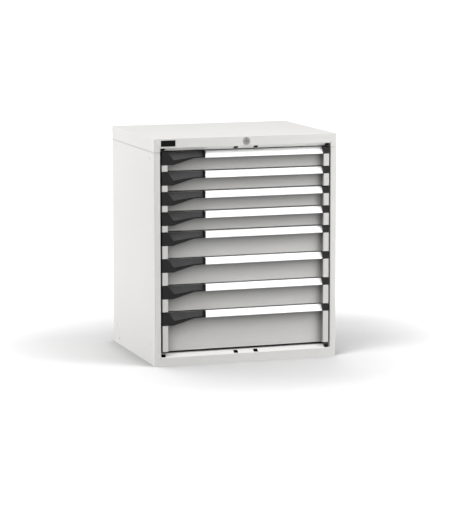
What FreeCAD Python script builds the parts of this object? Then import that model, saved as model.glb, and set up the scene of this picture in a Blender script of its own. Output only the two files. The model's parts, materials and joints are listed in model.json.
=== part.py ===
import FreeCAD, Part
import math
import os
import re

import Sketcher

# A steel drawer cabinet with eight full-extension drawers, in millimetres.
# The origin is on the floor under the middle of the cabinet, X runs to the right as one
# faces the drawers, Y runs from the front to the back and Z is up.

DOC = FreeCAD.newDocument("DrawerCabinet")

# The driving sizes: name, value and what it measures.
SIZES = (
    ("drawer_inner_width", 612, "clear width inside a drawer, 36 units of 17"),
    ("drawer_inner_depth", 459, "clear depth inside a drawer, 27 units of 17"),
    ("height_unit", 25, "pitch of the slots in the uprights, unit of every front height"),
    ("low_front_units", 3, "height of a low front"),
    ("middle_front_units", 4, "height of a middle front"),
    ("deep_front_units", 6, "height of a deep front"),
    ("drawer_travel", 470, "full extension of a drawer"),
    ("drawer_sheet", 1.25, "steel sheet of the drawers"),
    ("recess_depth", 20, "how far the front panel lies behind its side flanges"),
    ("flange_width", 21.3, "width of the flange at each end of a front"),
    ("front_top_gap", 3.5, "running gap above each front"),
    ("front_flare", 2, "height and reach of the flared lower edge of a front panel"),
    ("tray_floor_gap", 4, "tray floor above the lower edge of its front"),
    ("tray_top_gap", 10, "tray walls below the top of the drawer's space"),
    ("divider_pitch", 34, "pitch of the divider slots"),
    ("divider_slot_width", 3, "width of a divider slot"),
    ("divider_slot_margin", 9, "wall left above and below a divider slot"),
    ("runner_drop", 40, "centre line of the runners below the top of the drawer's space"),
    ("runner_height", 30, "height of the rail channels"),
    ("runner_sheet", 1.5, "steel sheet of the rail channels"),
    ("rail_depth", 10, "depth of the channel fixed to the uprights"),
    ("drawer_rail_depth", 10.75, "depth of the channel welded to a drawer"),
    ("runner_gap", 2, "sideways gap between a channel and the moving bar"),
    ("bar_thickness", 3, "thickness of the moving bar"),
    ("bar_height", 24, "height of the moving bar"),
    ("bar_end_gap", 3, "moving bar behind the front panel"),
    ("bar_rear_gap", 51, "moving bar in front of the back panel"),
    ("roller_gap", 0.3, "running gap between a roller and its channel"),
    ("roller_side_gap", 1.5, "gap between a roller and the web of its channel"),
    ("roller_inset", 17, "rollers from the ends of their bar or channel"),
    ("front_roller_inset", 30, "front rollers of an open drawer from the front ends of the fixed rails"),
    ("roller_pin_radius", 3, "radius of a roller's pin"),
    ("pin_head_radius", 5, "radius of a pin's riveted head"),
    ("pin_head_height", 1, "height of a pin's riveted head"),
    ("rail_front_inset", 22, "front end of the fixed rails behind the front"),
    ("rail_rear_gap", 47, "rear end of the fixed rails in front of the back panel"),
    ("rail_setback", 0.5, "uprights behind the edge of the opening"),
    ("front_side_gap", 6.8, "gap beside each front"),
    ("shell_sheet", 1.5, "steel sheet of the housing"),
    ("bend_radius", 3, "outside radius of the bends of the housing"),
    ("pillar_width", 23, "width of the front pillars"),
    ("pillar_return", 24, "depth of the pillars' inner faces"),
    ("rear_return", 20, "width of the side panels' rear edges"),
    ("rear_space", 87.5, "space between the trays and the back panel"),
    ("base_space", 54, "floor to the lower edge of the lowest front"),
    ("head_space", 46, "top of the highest drawer's space to the top of the cabinet"),
    ("cover_skirt", 50, "height of the top cover's skirt"),
    ("base_skirt", 50, "height of the base's skirt"),
    ("seam_gap", 1.5, "open seam under the cover's skirt"),
    ("seam_overlap", 12, "set-in strip behind the seam, below it"),
    ("top_rail_height", 33.5, "top of the cabinet to the opening"),
    ("top_lip_depth", 17, "depth of the sloping lip above the drawers"),
    ("top_lip_drop", 12, "drop of the sloping lip above the drawers"),
    ("top_lip_hem", 10, "upturned rear edge of the upper lip"),
    ("bottom_rail_height", 32, "floor to the opening"),
    ("bottom_lip_depth", 23.5, "depth of the sloping lip below the drawers"),
    ("bottom_lip_rise", 13.5, "rise of the sloping lip below the drawers"),
    ("lip_slot_width", 17, "width of the slots in both lips"),
    ("lip_slot_centre", 39.5, "inner slots from the middle"),
    ("lip_slot_edge", 12, "centres of the outer slots from the edge of the opening"),
    ("lip_slot_start", 3, "front ends of the slots behind the front"),
    ("top_slot_length", 12, "depth of the slots in the upper lip"),
    ("bottom_slot_length", 16, "depth of the slots in the lower lip"),
    ("mitre_gap", 0.8, "width of the cut at each corner of the opening"),
    ("mitre_length", 7, "length of the cut at each corner of the opening"),
    ("base_flange", 30, "width of the flange that stands on the floor"),
    ("floor_hole_radius", 4.5, "holes for floor bolts"),
    ("floor_reach_radius", 8, "holes in the floor pan above the rear floor bolts"),
    ("side_hole_radius", 3, "hole in each side of the base"),
    ("side_hole_height", 23, "height of the holes in the sides of the base"),
    ("side_hole_rear", 81, "holes in the sides of the base from the rear"),
    ("post_width", 40, "width of the uprights"),
    ("front_post_inset", 39, "front uprights behind the front"),
    ("rear_post_inset", 32, "rear uprights in front of the rear"),
    ("post_slot_width", 4, "width of the slots in the uprights"),
    ("post_slot_height", 12, "height of the slots in the uprights"),
    ("post_slot_spacing", 18, "spacing of the two rows of slots"),
    ("post_slot_first", 20, "first slot above the foot of an upright"),
    ("plug_slot_width", 4.5, "width of the slots in the side panels"),
    ("plug_slot_height", 13, "height of the slots in the side panels"),
    ("plug_slot_inset", 74, "slots in the side panels from the top and the floor"),
    ("plug_gap", 0.15, "gap round a plug"),
    ("plug_recess", 0.4, "face of a plug behind the side panel"),
    ("plug_flange", 2, "edge of a plug behind the side panel"),
    ("plug_flange_thickness", 1, "thickness of that edge"),
    ("screw_radius", 2, "screws of the back panel"),
    ("screw_hole_gap", 0.1, "gap round a screw"),
    ("screw_head_radius", 4, "heads of the screws"),
    ("screw_head_height", 1, "height of the screws' heads"),
    ("screw_length", 4, "length of the screws under the head"),
    ("screw_inset", 10.5, "screws from the sides"),
    ("screw_first", 100, "lowest screws above the floor"),
    ("screw_pitch", 216, "screws apart"),
    ("grip_length", 168.7, "length of the black grip at the left"),
    ("grip_drop", 52, "lower edge of the grip at its heel"),
    ("grip_heel", 42.7, "length of the grip's deep part"),
    ("grip_waist", 124.7, "where the grip has narrowed"),
    ("grip_waist_drop", 28.5, "lower edge of the grip at its waist"),
    ("grip_tail_drop", 27, "lower edge of the grip at its right end"),
    ("grip_rim", 5, "rim at the grip's right end"),
    ("cap_drop", 29, "lower edge of the end cap at the right"),
    ("cap_cheek", 2.5, "edge of the end cap beside the handle"),
    ("cap_wall", 2, "wall of the end cap and the grip's heel"),
    ("handle_top_drop", 5, "top edge of the handle's face below the drawer's space"),
    ("handle_top_depth", 17.5, "top edge of the handle's face behind the front"),
    ("handle_bottom_drop", 25.7, "bottom edge of the handle's face"),
    ("handle_bottom_depth", 2, "bottom edge of the handle's face behind the front"),
    ("handle_wall", 2.4, "thickness of the handle"),
    ("handle_bead_radius", 2, "rounded lower edge of the handle"),
    ("handle_leg", 1.6, "thickness of the handle's fixing leg"),
    ("handle_leg_length", 18, "lower edge of the handle's fixing leg"),
    ("label_margin", 1.6, "rims above and below the label"),
    ("label_groove", 0.8, "depth of the label's groove"),
    ("lever_left", 24.7, "left end of the thumb lever from the end of the grip"),
    ("lever_slant", 21, "slant of the thumb lever's left edge"),
    ("lever_top_drop", 5, "top edge of the thumb lever"),
    ("lever_top_depth", 16.5, "top edge of the thumb lever behind the front"),
    ("lever_heel_drop", 35, "lower left corner of the thumb lever"),
    ("lever_heel_depth", 1.5, "lower left corner of the thumb lever behind the front"),
    ("lever_waist_drop", 25.5, "lower edge of the thumb lever at the grip's waist"),
    ("lever_tail_drop", 23.8, "lower edge of the thumb lever at its right end"),
    ("lever_wall", 2.4, "thickness of the thumb lever"),
    ("lever_corner_radius", 5, "rounded lower left corner of the thumb lever"),
    ("lever_gap", 1.1, "gap beside the thumb lever"),
    ("lever_swing_gap", 2, "gap under the thumb lever"),
    ("lever_pivot_drop", 6.8, "pivot of the thumb lever"),
    ("lever_pivot_radius", 1.2, "radius of the pivot"),
    ("pivot_clearance", 0.08, "radial clearance of the pivot and of the lock's plug"),
    ("pivot_hold", 3, "length of the pivot in the grip's rim"),
    ("latch_arm_start", 6.7, "latch arm from the end of the grip"),
    ("latch_arm_width", 6, "width of the latch arm"),
    ("latch_arm_height", 3, "height of the latch arm"),
    ("latch_arm_rear", 39, "rear end of the latch arm behind the front"),
    ("latch_nose_length", 4, "length of the latch's nose"),
    ("latch_nose_drop", 12, "lower edge of the latch's nose"),
    ("latch_cavity", 16.5, "width of the hollow round the latch arm"),
    ("latch_cavity_drop", 20, "floor of the hollow round the latch arm"),
    ("latch_clearance", 1.5, "gap round the latch arm in the front panel"),
    ("keeper_gap", 0.6, "keeper below the latch's nose"),
    ("keeper_front_gap", 1.5, "keeper in front of the latch's nose"),
    ("keeper_height", 5.4, "height of the keeper's finger"),
    ("lock_drop", 17, "lock below the top"),
    ("lock_ring_radius", 13.75, "ring of the lock"),
    ("lock_ring_proud", 1, "ring of the lock in front of the cover"),
    ("lock_barrel_radius", 9.5, "barrel of the lock"),
    ("lock_barrel_length", 26, "barrel of the lock behind the front"),
    ("lock_hole_gap", 0.1, "gap round the barrel"),
    ("lock_nut_radius", 13.5, "corner radius of the lock's nut"),
    ("lock_nut_height", 5, "thickness of the lock's nut"),
    ("lock_bore_radius", 6, "bore for the lock's plug"),
    ("plug_setback", 0.4, "face of the lock's plug behind the ring"),
    ("key_slot_width", 2, "width of the keyway"),
    ("key_slot_height", 7.6, "height of the keyway"),
    ("key_slot_depth", 12, "depth of the keyway"),
    ("cam_throw", 8, "cam pin from the lock's axis"),
    ("cam_hub_radius", 7, "hub of the cam"),
    ("cam_tip_radius", 4.2, "rounded tip of the cam"),
    ("cam_thickness", 3, "thickness of the cam"),
    ("cam_gap", 0.5, "cam behind the barrel"),
    ("cam_pin_radius", 2.5, "cam pin"),
    ("cam_pin_gap", 0.6, "running gap of the cam pin in its slot"),
    ("beam_front", 34, "lock beam behind the front"),
    ("beam_thickness", 2, "thickness of the lock beam"),
    ("beam_height", 14, "height of the lock beam"),
    ("beam_overhang", 8, "lock beam past the lock's axis"),
    ("rod_gap", 2.5, "lock rod beside the edge of the opening"),
    ("rod_thickness", 3, "thickness of the lock rod"),
    ("rod_front", 26, "lock rod behind the front"),
    ("rod_width", 11, "width of the lock rod"),
    ("rod_foot", 14.5, "lower end of the lock rod above the floor pan"),
    ("tab_front", 27, "lock tabs behind the front"),
    ("tab_width", 4, "width of the lock tabs"),
    ("tab_height", 2.5, "height of the lock tabs"),
    ("tab_rise", 1, "lock tabs above the fixed rails"),
    ("lug_gap", 1, "catch beside the lock tabs"),
    ("lug_setback", 3, "catch behind the lock tabs"),
    ("lug_reach", 9, "reach of the catch past the drawer's rail"),
    ("lug_thickness", 4, "thickness of the catch"),
    ("lug_height", 9, "height of the catch"),
    ("lug_drop", 9, "top edge of the catch"),
    ("guide_wall", 0.9, "wall of the lock rod's guides"),
    ("guide_gap", 0.5, "running gap in the guides"),
    ("guide_height", 10, "height of the guides"),
    ("guide_drop", 60, "guides below the top of their drawers' spaces"),
    ("badge_width", 55.5, "blank badge plate"),
    ("badge_height", 22, "height of the badge plate"),
    ("badge_left", 26.5, "badge plate from the left side"),
    ("badge_drop", 6, "badge plate below the top"),
    ("badge_thickness", 1, "thickness of the badge plate"),
)

# What each drawer is, from the top to the bottom.
FRONTS = ("low",) * 4 + ("middle",) * 3 + ("deep",)
GUIDED_DRAWERS = (1, 5, 8)
SCREW_ROWS = 4


def stacked_units(fronts):
    """The height of some fronts as a formula, in height units."""
    kinds = [f"{fronts.count(kind)} * {kind}_front_units" for kind in ("low", "middle", "deep")]
    return "(" + " + ".join(kinds) + ")"


# Places worked out from the sizes: name and formula.
PLACES = (
    # Across the cabinet, from the middle outwards.
    ("wall_inner", "drawer_inner_width / 2"),
    ("wall_outer", "wall_inner + drawer_sheet"),
    ("drawer_rail_edge", "wall_outer + drawer_rail_depth"),
    ("bar_inner", "drawer_rail_edge + runner_gap"),
    ("bar_outer", "bar_inner + bar_thickness"),
    ("rail_edge", "bar_outer + runner_gap"),
    ("post_face", "rail_edge + rail_depth"),
    ("opening_side", "post_face + rail_setback"),
    ("cabinet_side", "opening_side + pillar_width"),
    ("side_inside", "cabinet_side - shell_sheet"),
    ("outer_slot_middle", "opening_side - lip_slot_edge"),
    ("front_side", "opening_side - front_side_gap"),
    ("recess_side", "front_side - flange_width"),
    # From the front to the back.
    ("cabinet_depth", "recess_depth + 2 * drawer_sheet + drawer_inner_depth + rear_space + 2 * shell_sheet"),
    ("front", "0 - cabinet_depth / 2"),
    ("panel_face", "front + recess_depth"),
    ("tray_front", "panel_face + drawer_sheet"),
    ("tray_inner_back", "tray_front + drawer_inner_depth"),
    ("tray_back", "tray_inner_back + drawer_sheet"),
    ("back_inside", "tray_back + rear_space"),
    ("back_outside", "back_inside + shell_sheet"),
    ("rear", "back_outside + shell_sheet"),
    ("floor_hole_row", "rear - lip_slot_start - bottom_slot_length / 2"),
    ("rail_front", "front + rail_front_inset"),
    ("rail_rear", "back_inside - rail_rear_gap"),
    ("front_post_front", "front + front_post_inset"),
    ("front_post_middle", "front_post_front + post_width / 2"),
    ("rear_post_middle", "rear - rear_post_inset - post_width / 2"),
    ("bar_front", "tray_front + bar_end_gap"),
    ("bar_rear", "back_inside - bar_rear_gap"),
    # From the floor to the top.
    ("pan_top", "bottom_rail_height + bottom_lip_rise"),
    ("stack_top", "base_space + height_unit * " + stacked_units(FRONTS)),
    ("cabinet_top", "stack_top + head_space"),
    ("cover_underside", "cabinet_top - shell_sheet"),
    ("opening_top", "cabinet_top - top_rail_height"),
    ("skirt_bottom", "cabinet_top - cover_skirt"),
    ("panel_top", "skirt_bottom - seam_gap"),
    ("strip_bottom", "panel_top - seam_overlap"),
    # The handle's and the thumb lever's sloping faces.
    ("handle_run", "handle_top_depth - handle_bottom_depth"),
    ("handle_fall", "handle_bottom_drop - handle_top_drop"),
    ("handle_face", "sqrt(handle_run ^ 2 + handle_fall ^ 2)"),
    ("handle_sine", "handle_run / handle_face"),
    ("handle_cosine", "handle_fall / handle_face"),
    ("handle_right", "recess_side - cap_cheek"),
    ("grip_left", "0 - front_side"),
    ("grip_right", "grip_left + grip_length"),
    ("lever_right", "grip_right - grip_rim - lever_gap"),
    ("lever_run", "lever_top_depth - lever_heel_depth"),
    ("lever_fall", "lever_heel_drop - lever_top_drop"),
    ("lever_face", "sqrt(lever_run ^ 2 + lever_fall ^ 2)"),
    ("lever_slope", "lever_run / lever_fall"),
    ("lever_lean", "lever_slant / lever_fall"),
    ("lever_through", "lever_wall * lever_face / lever_fall"),
    ("pivot_setback", "lever_slope * (lever_pivot_drop - lever_top_drop)"),
    ("pivot_depth", "lever_top_depth - pivot_setback + lever_through / 2"),
    ("pivot_y", "front + pivot_depth"),
    # The lock.
    ("lock_z", "cabinet_top - lock_drop"),
    ("barrel_end", "front + lock_barrel_length"),
    ("cam_front", "barrel_end + cam_gap"),
    ("cam_back", "cam_front + cam_thickness"),
    ("cam_offset", "cam_throw * sqrt(0.5)"),
    ("beam_middle", "lock_z - cam_offset"),
    ("beam_y", "front + beam_front"),
    ("rod_inner", "opening_side + rod_gap"),
    ("rod_outer", "rod_inner + rod_thickness"),
    ("rod_y", "front + rod_front"),
    ("rod_back", "rod_y + rod_width"),
    ("rail_top_drop", "runner_drop - runner_height / 2"),
    ("lug_edge", "drawer_rail_edge + lug_reach"),
    ("lug_front", "front + tab_front + tab_width + lug_setback"),
)


def make_sheet():
    """The spreadsheet with every driving size."""
    sheet = DOC.addObject("Spreadsheet::Sheet", "Sizes")
    for row, (name, size, meaning) in enumerate(SIZES, start=1):
        sheet.set(f"A{row}", name)
        sheet.set(f"B{row}", str(size))
        sheet.setAlias(f"B{row}", name)
        sheet.set(f"C{row}", meaning)
    DOC.recompute()
    return sheet


def bound(formula):
    """A formula with each size read from the sheet and each place from the places."""
    def owner(match):
        word = match.group(0)
        if word in SIZE_NAMES:
            return "Sizes." + word
        return "Places." + word if word in PLACE_NAMES else word

    return re.sub(r"[a-z][a-z_]*", owner, formula)


def make_places():
    """The set of places, each bound to the sizes it comes from."""
    places = DOC.addObject("App::VarSet", "Places")
    for name, formula in PLACES:
        places.addProperty("App::PropertyFloat", name)
        places.setExpression(name, bound(formula))
    DOC.recompute()
    return places


SIZE_NAMES = {name for name, _, _ in SIZES}
PLACE_NAMES = {name for name, _ in PLACES}
SHEET = make_sheet()
PLACED = make_places()


def value(formula):
    """A formula's value in millimetres."""
    return float(PLACED.evalExpression(bound(formula)))


def bind(item, **formulas):
    """Ties properties of an object to formulas."""
    for prop, formula in formulas.items():
        item.setExpression(prop, bound(formula))


def place(item, x="0", y="0", z="0"):
    """Ties an object's position to formulas."""
    for axis, formula in (("x", x), ("y", y), ("z", z)):
        item.setExpression("Placement.Base." + axis, bound(formula))


def block(name, x, y, z):
    """A block between pairs of formulas along X, Y and Z."""
    item = DOC.addObject("Part::Box", name)
    bind(item, Length=f"({x[1]}) - ({x[0]})", Width=f"({y[1]}) - ({y[0]})", Height=f"({z[1]}) - ({z[0]})")
    place(item, x[0], y[0], z[0])
    return item


TURNS = {
    "X": FreeCAD.Rotation(FreeCAD.Vector(0, 1, 0), 90),
    "Y": FreeCAD.Rotation(FreeCAD.Vector(-1, 0, 0), 90),
    "Z": FreeCAD.Rotation(),
}


def rod(name, axis, centre, start, end, radius):
    """A cylinder along an axis: its centre gives the two other coordinates, in X, Y, Z order."""
    item = DOC.addObject("Part::Cylinder", name)
    item.Placement.Rotation = TURNS[axis]
    bind(item, Radius=radius, Height=f"({end}) - ({start})")
    spot = list(centre)
    spot.insert("XYZ".index(axis), start)
    place(item, *spot)
    return item


def joined(name, pieces):
    """One solid from pieces that touch."""
    item = DOC.addObject("Part::MultiFuse", name)
    item.Shapes = pieces
    item.Refine = True
    return item


def together(name, pieces):
    """Separate solids kept as one group."""
    item = DOC.addObject("Part::Compound", name)
    item.Links = pieces
    return item


def less(name, base, tools):
    """A piece with holes, slots or hollows taken out of it."""
    item = DOC.addObject("Part::Cut", name)
    item.Base = base
    item.Tool = tools[0] if len(tools) == 1 else together(name + "_cutters", tools)
    return item


def mirrored(name, source):
    """The same piece on the other side of the cabinet."""
    item = DOC.addObject("Part::Mirroring", name)
    item.Source = source
    item.Normal = FreeCAD.Vector(1, 0, 0)
    return item


def copied(name, source, x="0", y="0", z="0"):
    """The same piece at another place."""
    item = together(name, [source])
    place(item, x, y, z)
    return item


def plane_of(body, role):
    """One of a body's own origin planes."""
    return next(item for item in body.Origin.OriginFeatures if item.Role == role)


def sketch_on(body, name, role, offset="0"):
    """An empty sketch on one of a body's planes, moved along its normal."""
    sketch = body.newObject("Sketcher::SketchObject", name)
    sketch.AttachmentSupport = [(plane_of(body, role), "")]
    sketch.MapMode = "FlatFace"
    sketch.setExpression("AttachmentOffset.Base.z", bound(offset))
    return sketch


def pin_point(sketch, geometry, point, spot):
    """Holds a point of a sketch at two formulas."""
    for kind, formula in zip(("DistanceX", "DistanceY"), spot):
        index = sketch.addConstraint(Sketcher.Constraint(kind, -1, 1, geometry, point, value(formula)))
        sketch.setExpression(f"Constraints[{index}]", bound(formula))


def draw_outline(sketch, corners):
    """A closed outline of straight lines through corners that are given as formulas."""
    spots = [FreeCAD.Vector(value(across), value(up), 0) for across, up in corners]
    first = sketch.GeometryCount
    count = len(corners)
    for index, spot in enumerate(spots):
        sketch.addGeometry(Part.LineSegment(spot, spots[(index + 1) % count]))
    for index in range(count):
        follower = first + (index + 1) % count
        sketch.addConstraint(Sketcher.Constraint("Coincident", first + index, 2, follower, 1))
    for index, corner in enumerate(corners):
        pin_point(sketch, first + index, 1, corner)


def draw_circle(sketch, centre, radius):
    """A circle whose centre and radius are formulas."""
    spot = FreeCAD.Vector(value(centre[0]), value(centre[1]), 0)
    circle = sketch.addGeometry(Part.Circle(spot, FreeCAD.Vector(0, 0, 1), value(radius)))
    pin_point(sketch, circle, 3, centre)
    index = sketch.addConstraint(Sketcher.Constraint("Radius", circle, value(radius)))
    sketch.setExpression(f"Constraints[{index}]", bound(radius))


def extruded(name, role, start, end, corners, circles=()):
    """A body: an outline, with round holes, drawn on a plane and padded between two formulas."""
    body = DOC.addObject("PartDesign::Body", name)
    faces_back = role == "XZ_Plane"
    sketch = sketch_on(body, name + "_outline", role, f"0 - ({start})" if faces_back else start)
    draw_outline(sketch, corners)
    for centre, radius in circles:
        draw_circle(sketch, centre, radius)
    pad = body.newObject("PartDesign::Pad", name + "_pad")
    pad.Profile = sketch
    pad.Reversed = faces_back
    bind(pad, Length=f"({end}) - ({start})")
    DOC.recompute()
    return body


def edges_along(shape, axis, spots):
    """The names of a shape's edges along an axis that pass through some places across it."""
    first, second = (index for index in range(3) if index != "XYZ".index(axis))
    names = []
    for index, edge in enumerate(shape.Edges, start=1):
        start, end = edge.Vertexes[0].Point, edge.Vertexes[-1].Point
        slip = math.hypot(start[first] - end[first], start[second] - end[second])
        reach = min(math.hypot(start[first] - a, start[second] - b) for a, b in spots)
        if slip < 1e-6 and reach < 1e-6:
            names.append(f"Edge{index}")
    return names


def rounded_edges(body, name, spots, radius, axis="Z"):
    """Rounds a body's edges along an axis at places that are given as formulas."""
    base = body.Tip
    edges = edges_along(base.Shape, axis, [(value(a), value(b)) for a, b in spots])
    fillet = body.newObject("PartDesign::Fillet", name)
    fillet.Base = (base, edges)
    bind(fillet, Radius=radius)
    DOC.recompute()


def capsule(name, x, y, z, width, height):
    """An upright slot's shape with round ends, its axis along X."""
    half = f"({width}) / 2"
    reach = f"(({height}) - ({width})) / 2"
    middle = block(name + "_middle", x, (f"{y} - {half}", f"{y} + {half}"),
                   (f"{z} - {reach}", f"{z} + {reach}"))
    upper = rod(name + "_upper", "X", (y, f"{z} + {reach}"), x[0], x[1], half)
    lower = rod(name + "_lower", "X", (y, f"{z} - {reach}"), x[0], x[1], half)
    return joined(name, [middle, upper, lower])


def drop(formula):
    """A height below the top of a drawer's space."""
    return f"0 - ({formula})"


def space_top(number):
    """The height of the top of a drawer's space, counted from the top drawer as 1."""
    return "stack_top - height_unit * " + stacked_units(FRONTS[: number - 1])


# Housing

CORNER_SPOTS = [(f"{sx} * cabinet_side", f"{sy} * rear") for sx in (-1, 1) for sy in (-1, 1)]
FULL_WIDTH = ("0 - cabinet_side", "cabinet_side")
INSIDE_WIDTH = ("0 - side_inside", "side_inside")
OPENING_WIDTH = ("0 - opening_side", "opening_side")


def rectangle(x, y):
    """The corners of a rectangle."""
    return [(x[0], y[0]), (x[1], y[0]), (x[1], y[1]), (x[0], y[1])]


def lip_slots(name, y_length, z):
    """The four slots through a sloping lip."""
    centres = ("0 - outer_slot_middle", "0 - lip_slot_centre", "lip_slot_centre", "outer_slot_middle")
    y = ("front + lip_slot_start", f"front + lip_slot_start + {y_length}")
    slots = []
    for index, centre in enumerate(centres, start=1):
        x = (f"{centre} - lip_slot_width / 2", f"{centre} + lip_slot_width / 2")
        slots.append(block(f"{name}_{index}", x, y, z))
    return slots


def mitre_cuts(name, z, leans):
    """The short slanting cut at each corner of the opening, in the front sheet."""
    cuts = []
    for side, lean in zip((-1, 1), leans):
        cut = DOC.addObject("Part::Box", f"{name}_{'left' if side < 0 else 'right'}")
        bind(cut, Length="mitre_gap", Width="2 * shell_sheet", Height="mitre_length")
        cut.Placement.Rotation = FreeCAD.Rotation(FreeCAD.Vector(0, 1, 0), lean)
        place(cut, f"{side} * opening_side - mitre_gap / 2", "front - shell_sheet / 2", z)
        cuts.append(cut)
    return cuts


def make_top_cover():
    """The lid: a tray upside down with a skirt, a sloping lip over the drawers and the lock's hole."""
    shell = extruded("cover_block", "XY_Plane", "skirt_bottom", "cabinet_top",
                     rectangle(FULL_WIDTH, ("front", "rear")))
    rounded_edges(shell, "cover_corners", CORNER_SPOTS, "bend_radius")
    hollow = block("cover_hollow", INSIDE_WIDTH, ("front + shell_sheet", "back_outside"),
                   ("skirt_bottom - shell_sheet", "cover_underside"))
    doorway = block("cover_doorway", OPENING_WIDTH, ("front - shell_sheet", "front + 2 * shell_sheet"),
                    ("skirt_bottom - shell_sheet", "opening_top"))
    folded = less("cover_folded", shell, [joined("cover_waste", [hollow, doorway])])
    slope = "(top_lip_drop / top_lip_depth)"
    inner = f"opening_top + shell_sheet * sqrt(1 + {slope} ^ 2)"
    edge = "opening_top - top_lip_drop"
    lip = extruded("cover_lip", "YZ_Plane", *OPENING_WIDTH, [
        ("front", "opening_top"),
        ("front + top_lip_depth", edge),
        ("front + top_lip_depth + shell_sheet", edge),
        ("front + top_lip_depth + shell_sheet", f"{edge} + top_lip_hem"),
        ("front + top_lip_depth", f"{edge} + top_lip_hem"),
        ("front + top_lip_depth", f"{inner} - top_lip_drop"),
        ("front + shell_sheet", f"{inner} - shell_sheet * {slope}"),
        ("front + shell_sheet", "opening_top + 3 * shell_sheet"),
        ("front", "opening_top + 3 * shell_sheet"),
    ])
    whole = joined("cover_whole", [folded, lip])
    slots = lip_slots("top_lip_slot", "top_slot_length", ("skirt_bottom", f"{inner} + shell_sheet"))
    lock_hole = rod("lock_hole", "Y", ("0", "lock_z"), "front - shell_sheet", "front + 2 * shell_sheet",
                    "lock_barrel_radius + lock_hole_gap")
    return less("top_cover", whole, slots + mitre_cuts("top_mitre", "opening_top", (-45, 45)) + [lock_hole])


def make_base_tray():
    """The base: skirt, sloping lip, floor pan and the flange that stands on the floor."""
    skirt = extruded("base_block", "XY_Plane", "0", "base_skirt", rectangle(FULL_WIDTH, ("front", "rear")))
    rounded_edges(skirt, "base_corners", CORNER_SPOTS, "bend_radius")
    well = block("base_well", INSIDE_WIDTH, ("front + shell_sheet", "back_outside"),
                 ("0 - shell_sheet", "base_skirt + shell_sheet"))
    doorway = block("base_doorway", OPENING_WIDTH, ("front - shell_sheet", "front + 2 * shell_sheet"),
                    ("bottom_rail_height", "base_skirt + shell_sheet"))
    ring = less("base_ring", skirt, [joined("base_waste", [well, doorway])])
    slope = "(bottom_lip_rise / bottom_lip_depth)"
    under = f"bottom_rail_height - shell_sheet * sqrt(1 + {slope} ^ 2)"
    lip = extruded("base_lip", "YZ_Plane", *OPENING_WIDTH, [
        ("front", "bottom_rail_height"),
        ("front", "bottom_rail_height - 3 * shell_sheet"),
        ("front + shell_sheet", "bottom_rail_height - 3 * shell_sheet"),
        ("front + shell_sheet", f"{under} + shell_sheet * {slope}"),
        ("front + bottom_lip_depth", f"{under} + bottom_lip_rise"),
        ("front + bottom_lip_depth", "pan_top"),
    ])
    pan = block("floor_pan", INSIDE_WIDTH, ("front + bottom_lip_depth", "back_outside"),
                ("pan_top - shell_sheet", "pan_top"))
    foot = block("base_foot", INSIDE_WIDTH, ("front + shell_sheet", "back_outside"), ("0", "shell_sheet"))
    middle = block("base_middle", ("0 - side_inside + base_flange", "side_inside - base_flange"),
                   ("front + shell_sheet + base_flange", "back_outside - base_flange"),
                   ("0 - shell_sheet", "2 * shell_sheet"))
    whole = joined("base_whole", [ring, lip, pan, less("base_flange_ring", foot, [middle])])
    cutters = lip_slots("bottom_lip_slot", "bottom_slot_length", ("bottom_rail_height / 2", "base_skirt"))
    cutters += mitre_cuts("bottom_mitre", "bottom_rail_height", (-135, 135))
    for side, word in ((-1, "left"), (1, "right")):
        across = f"{side} * outer_slot_middle"
        for y, end in (("0 - floor_hole_row", "front"), ("floor_hole_row", "rear")):
            cutters.append(rod(f"floor_hole_{word}_{end}", "Z", (across, y), "0 - shell_sheet",
                               "2 * shell_sheet", "floor_hole_radius"))
        cutters.append(rod(f"floor_reach_{word}", "Z", (across, "floor_hole_row"), "base_skirt / 2",
                           "base_skirt", "floor_reach_radius"))
    cutters.append(rod("side_hole", "X", ("rear - side_hole_rear", "side_hole_height"),
                       "0 - cabinet_side - shell_sheet", "cabinet_side + shell_sheet", "side_hole_radius"))
    return less("base_tray", whole, cutters)


def screw_heights():
    """The heights of the back panel's screws."""
    return [f"screw_first + {row} * screw_pitch" for row in range(SCREW_ROWS)]


def screw_holes(name, side):
    """Clear holes for the back panel's screws on one side."""
    holes = []
    for row, height in enumerate(screw_heights(), start=1):
        holes.append(rod(f"{name}_{row}", "Y", (f"{side} * (cabinet_side - screw_inset)", height),
                         "back_inside - shell_sheet", "rear + shell_sheet", "screw_radius + screw_hole_gap"))
    return holes


PLUG_SPOTS = [(y, z) for y in ("front_post_middle", "rear_post_middle")
              for z in ("plug_slot_inset", "cabinet_top - plug_slot_inset")]


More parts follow.
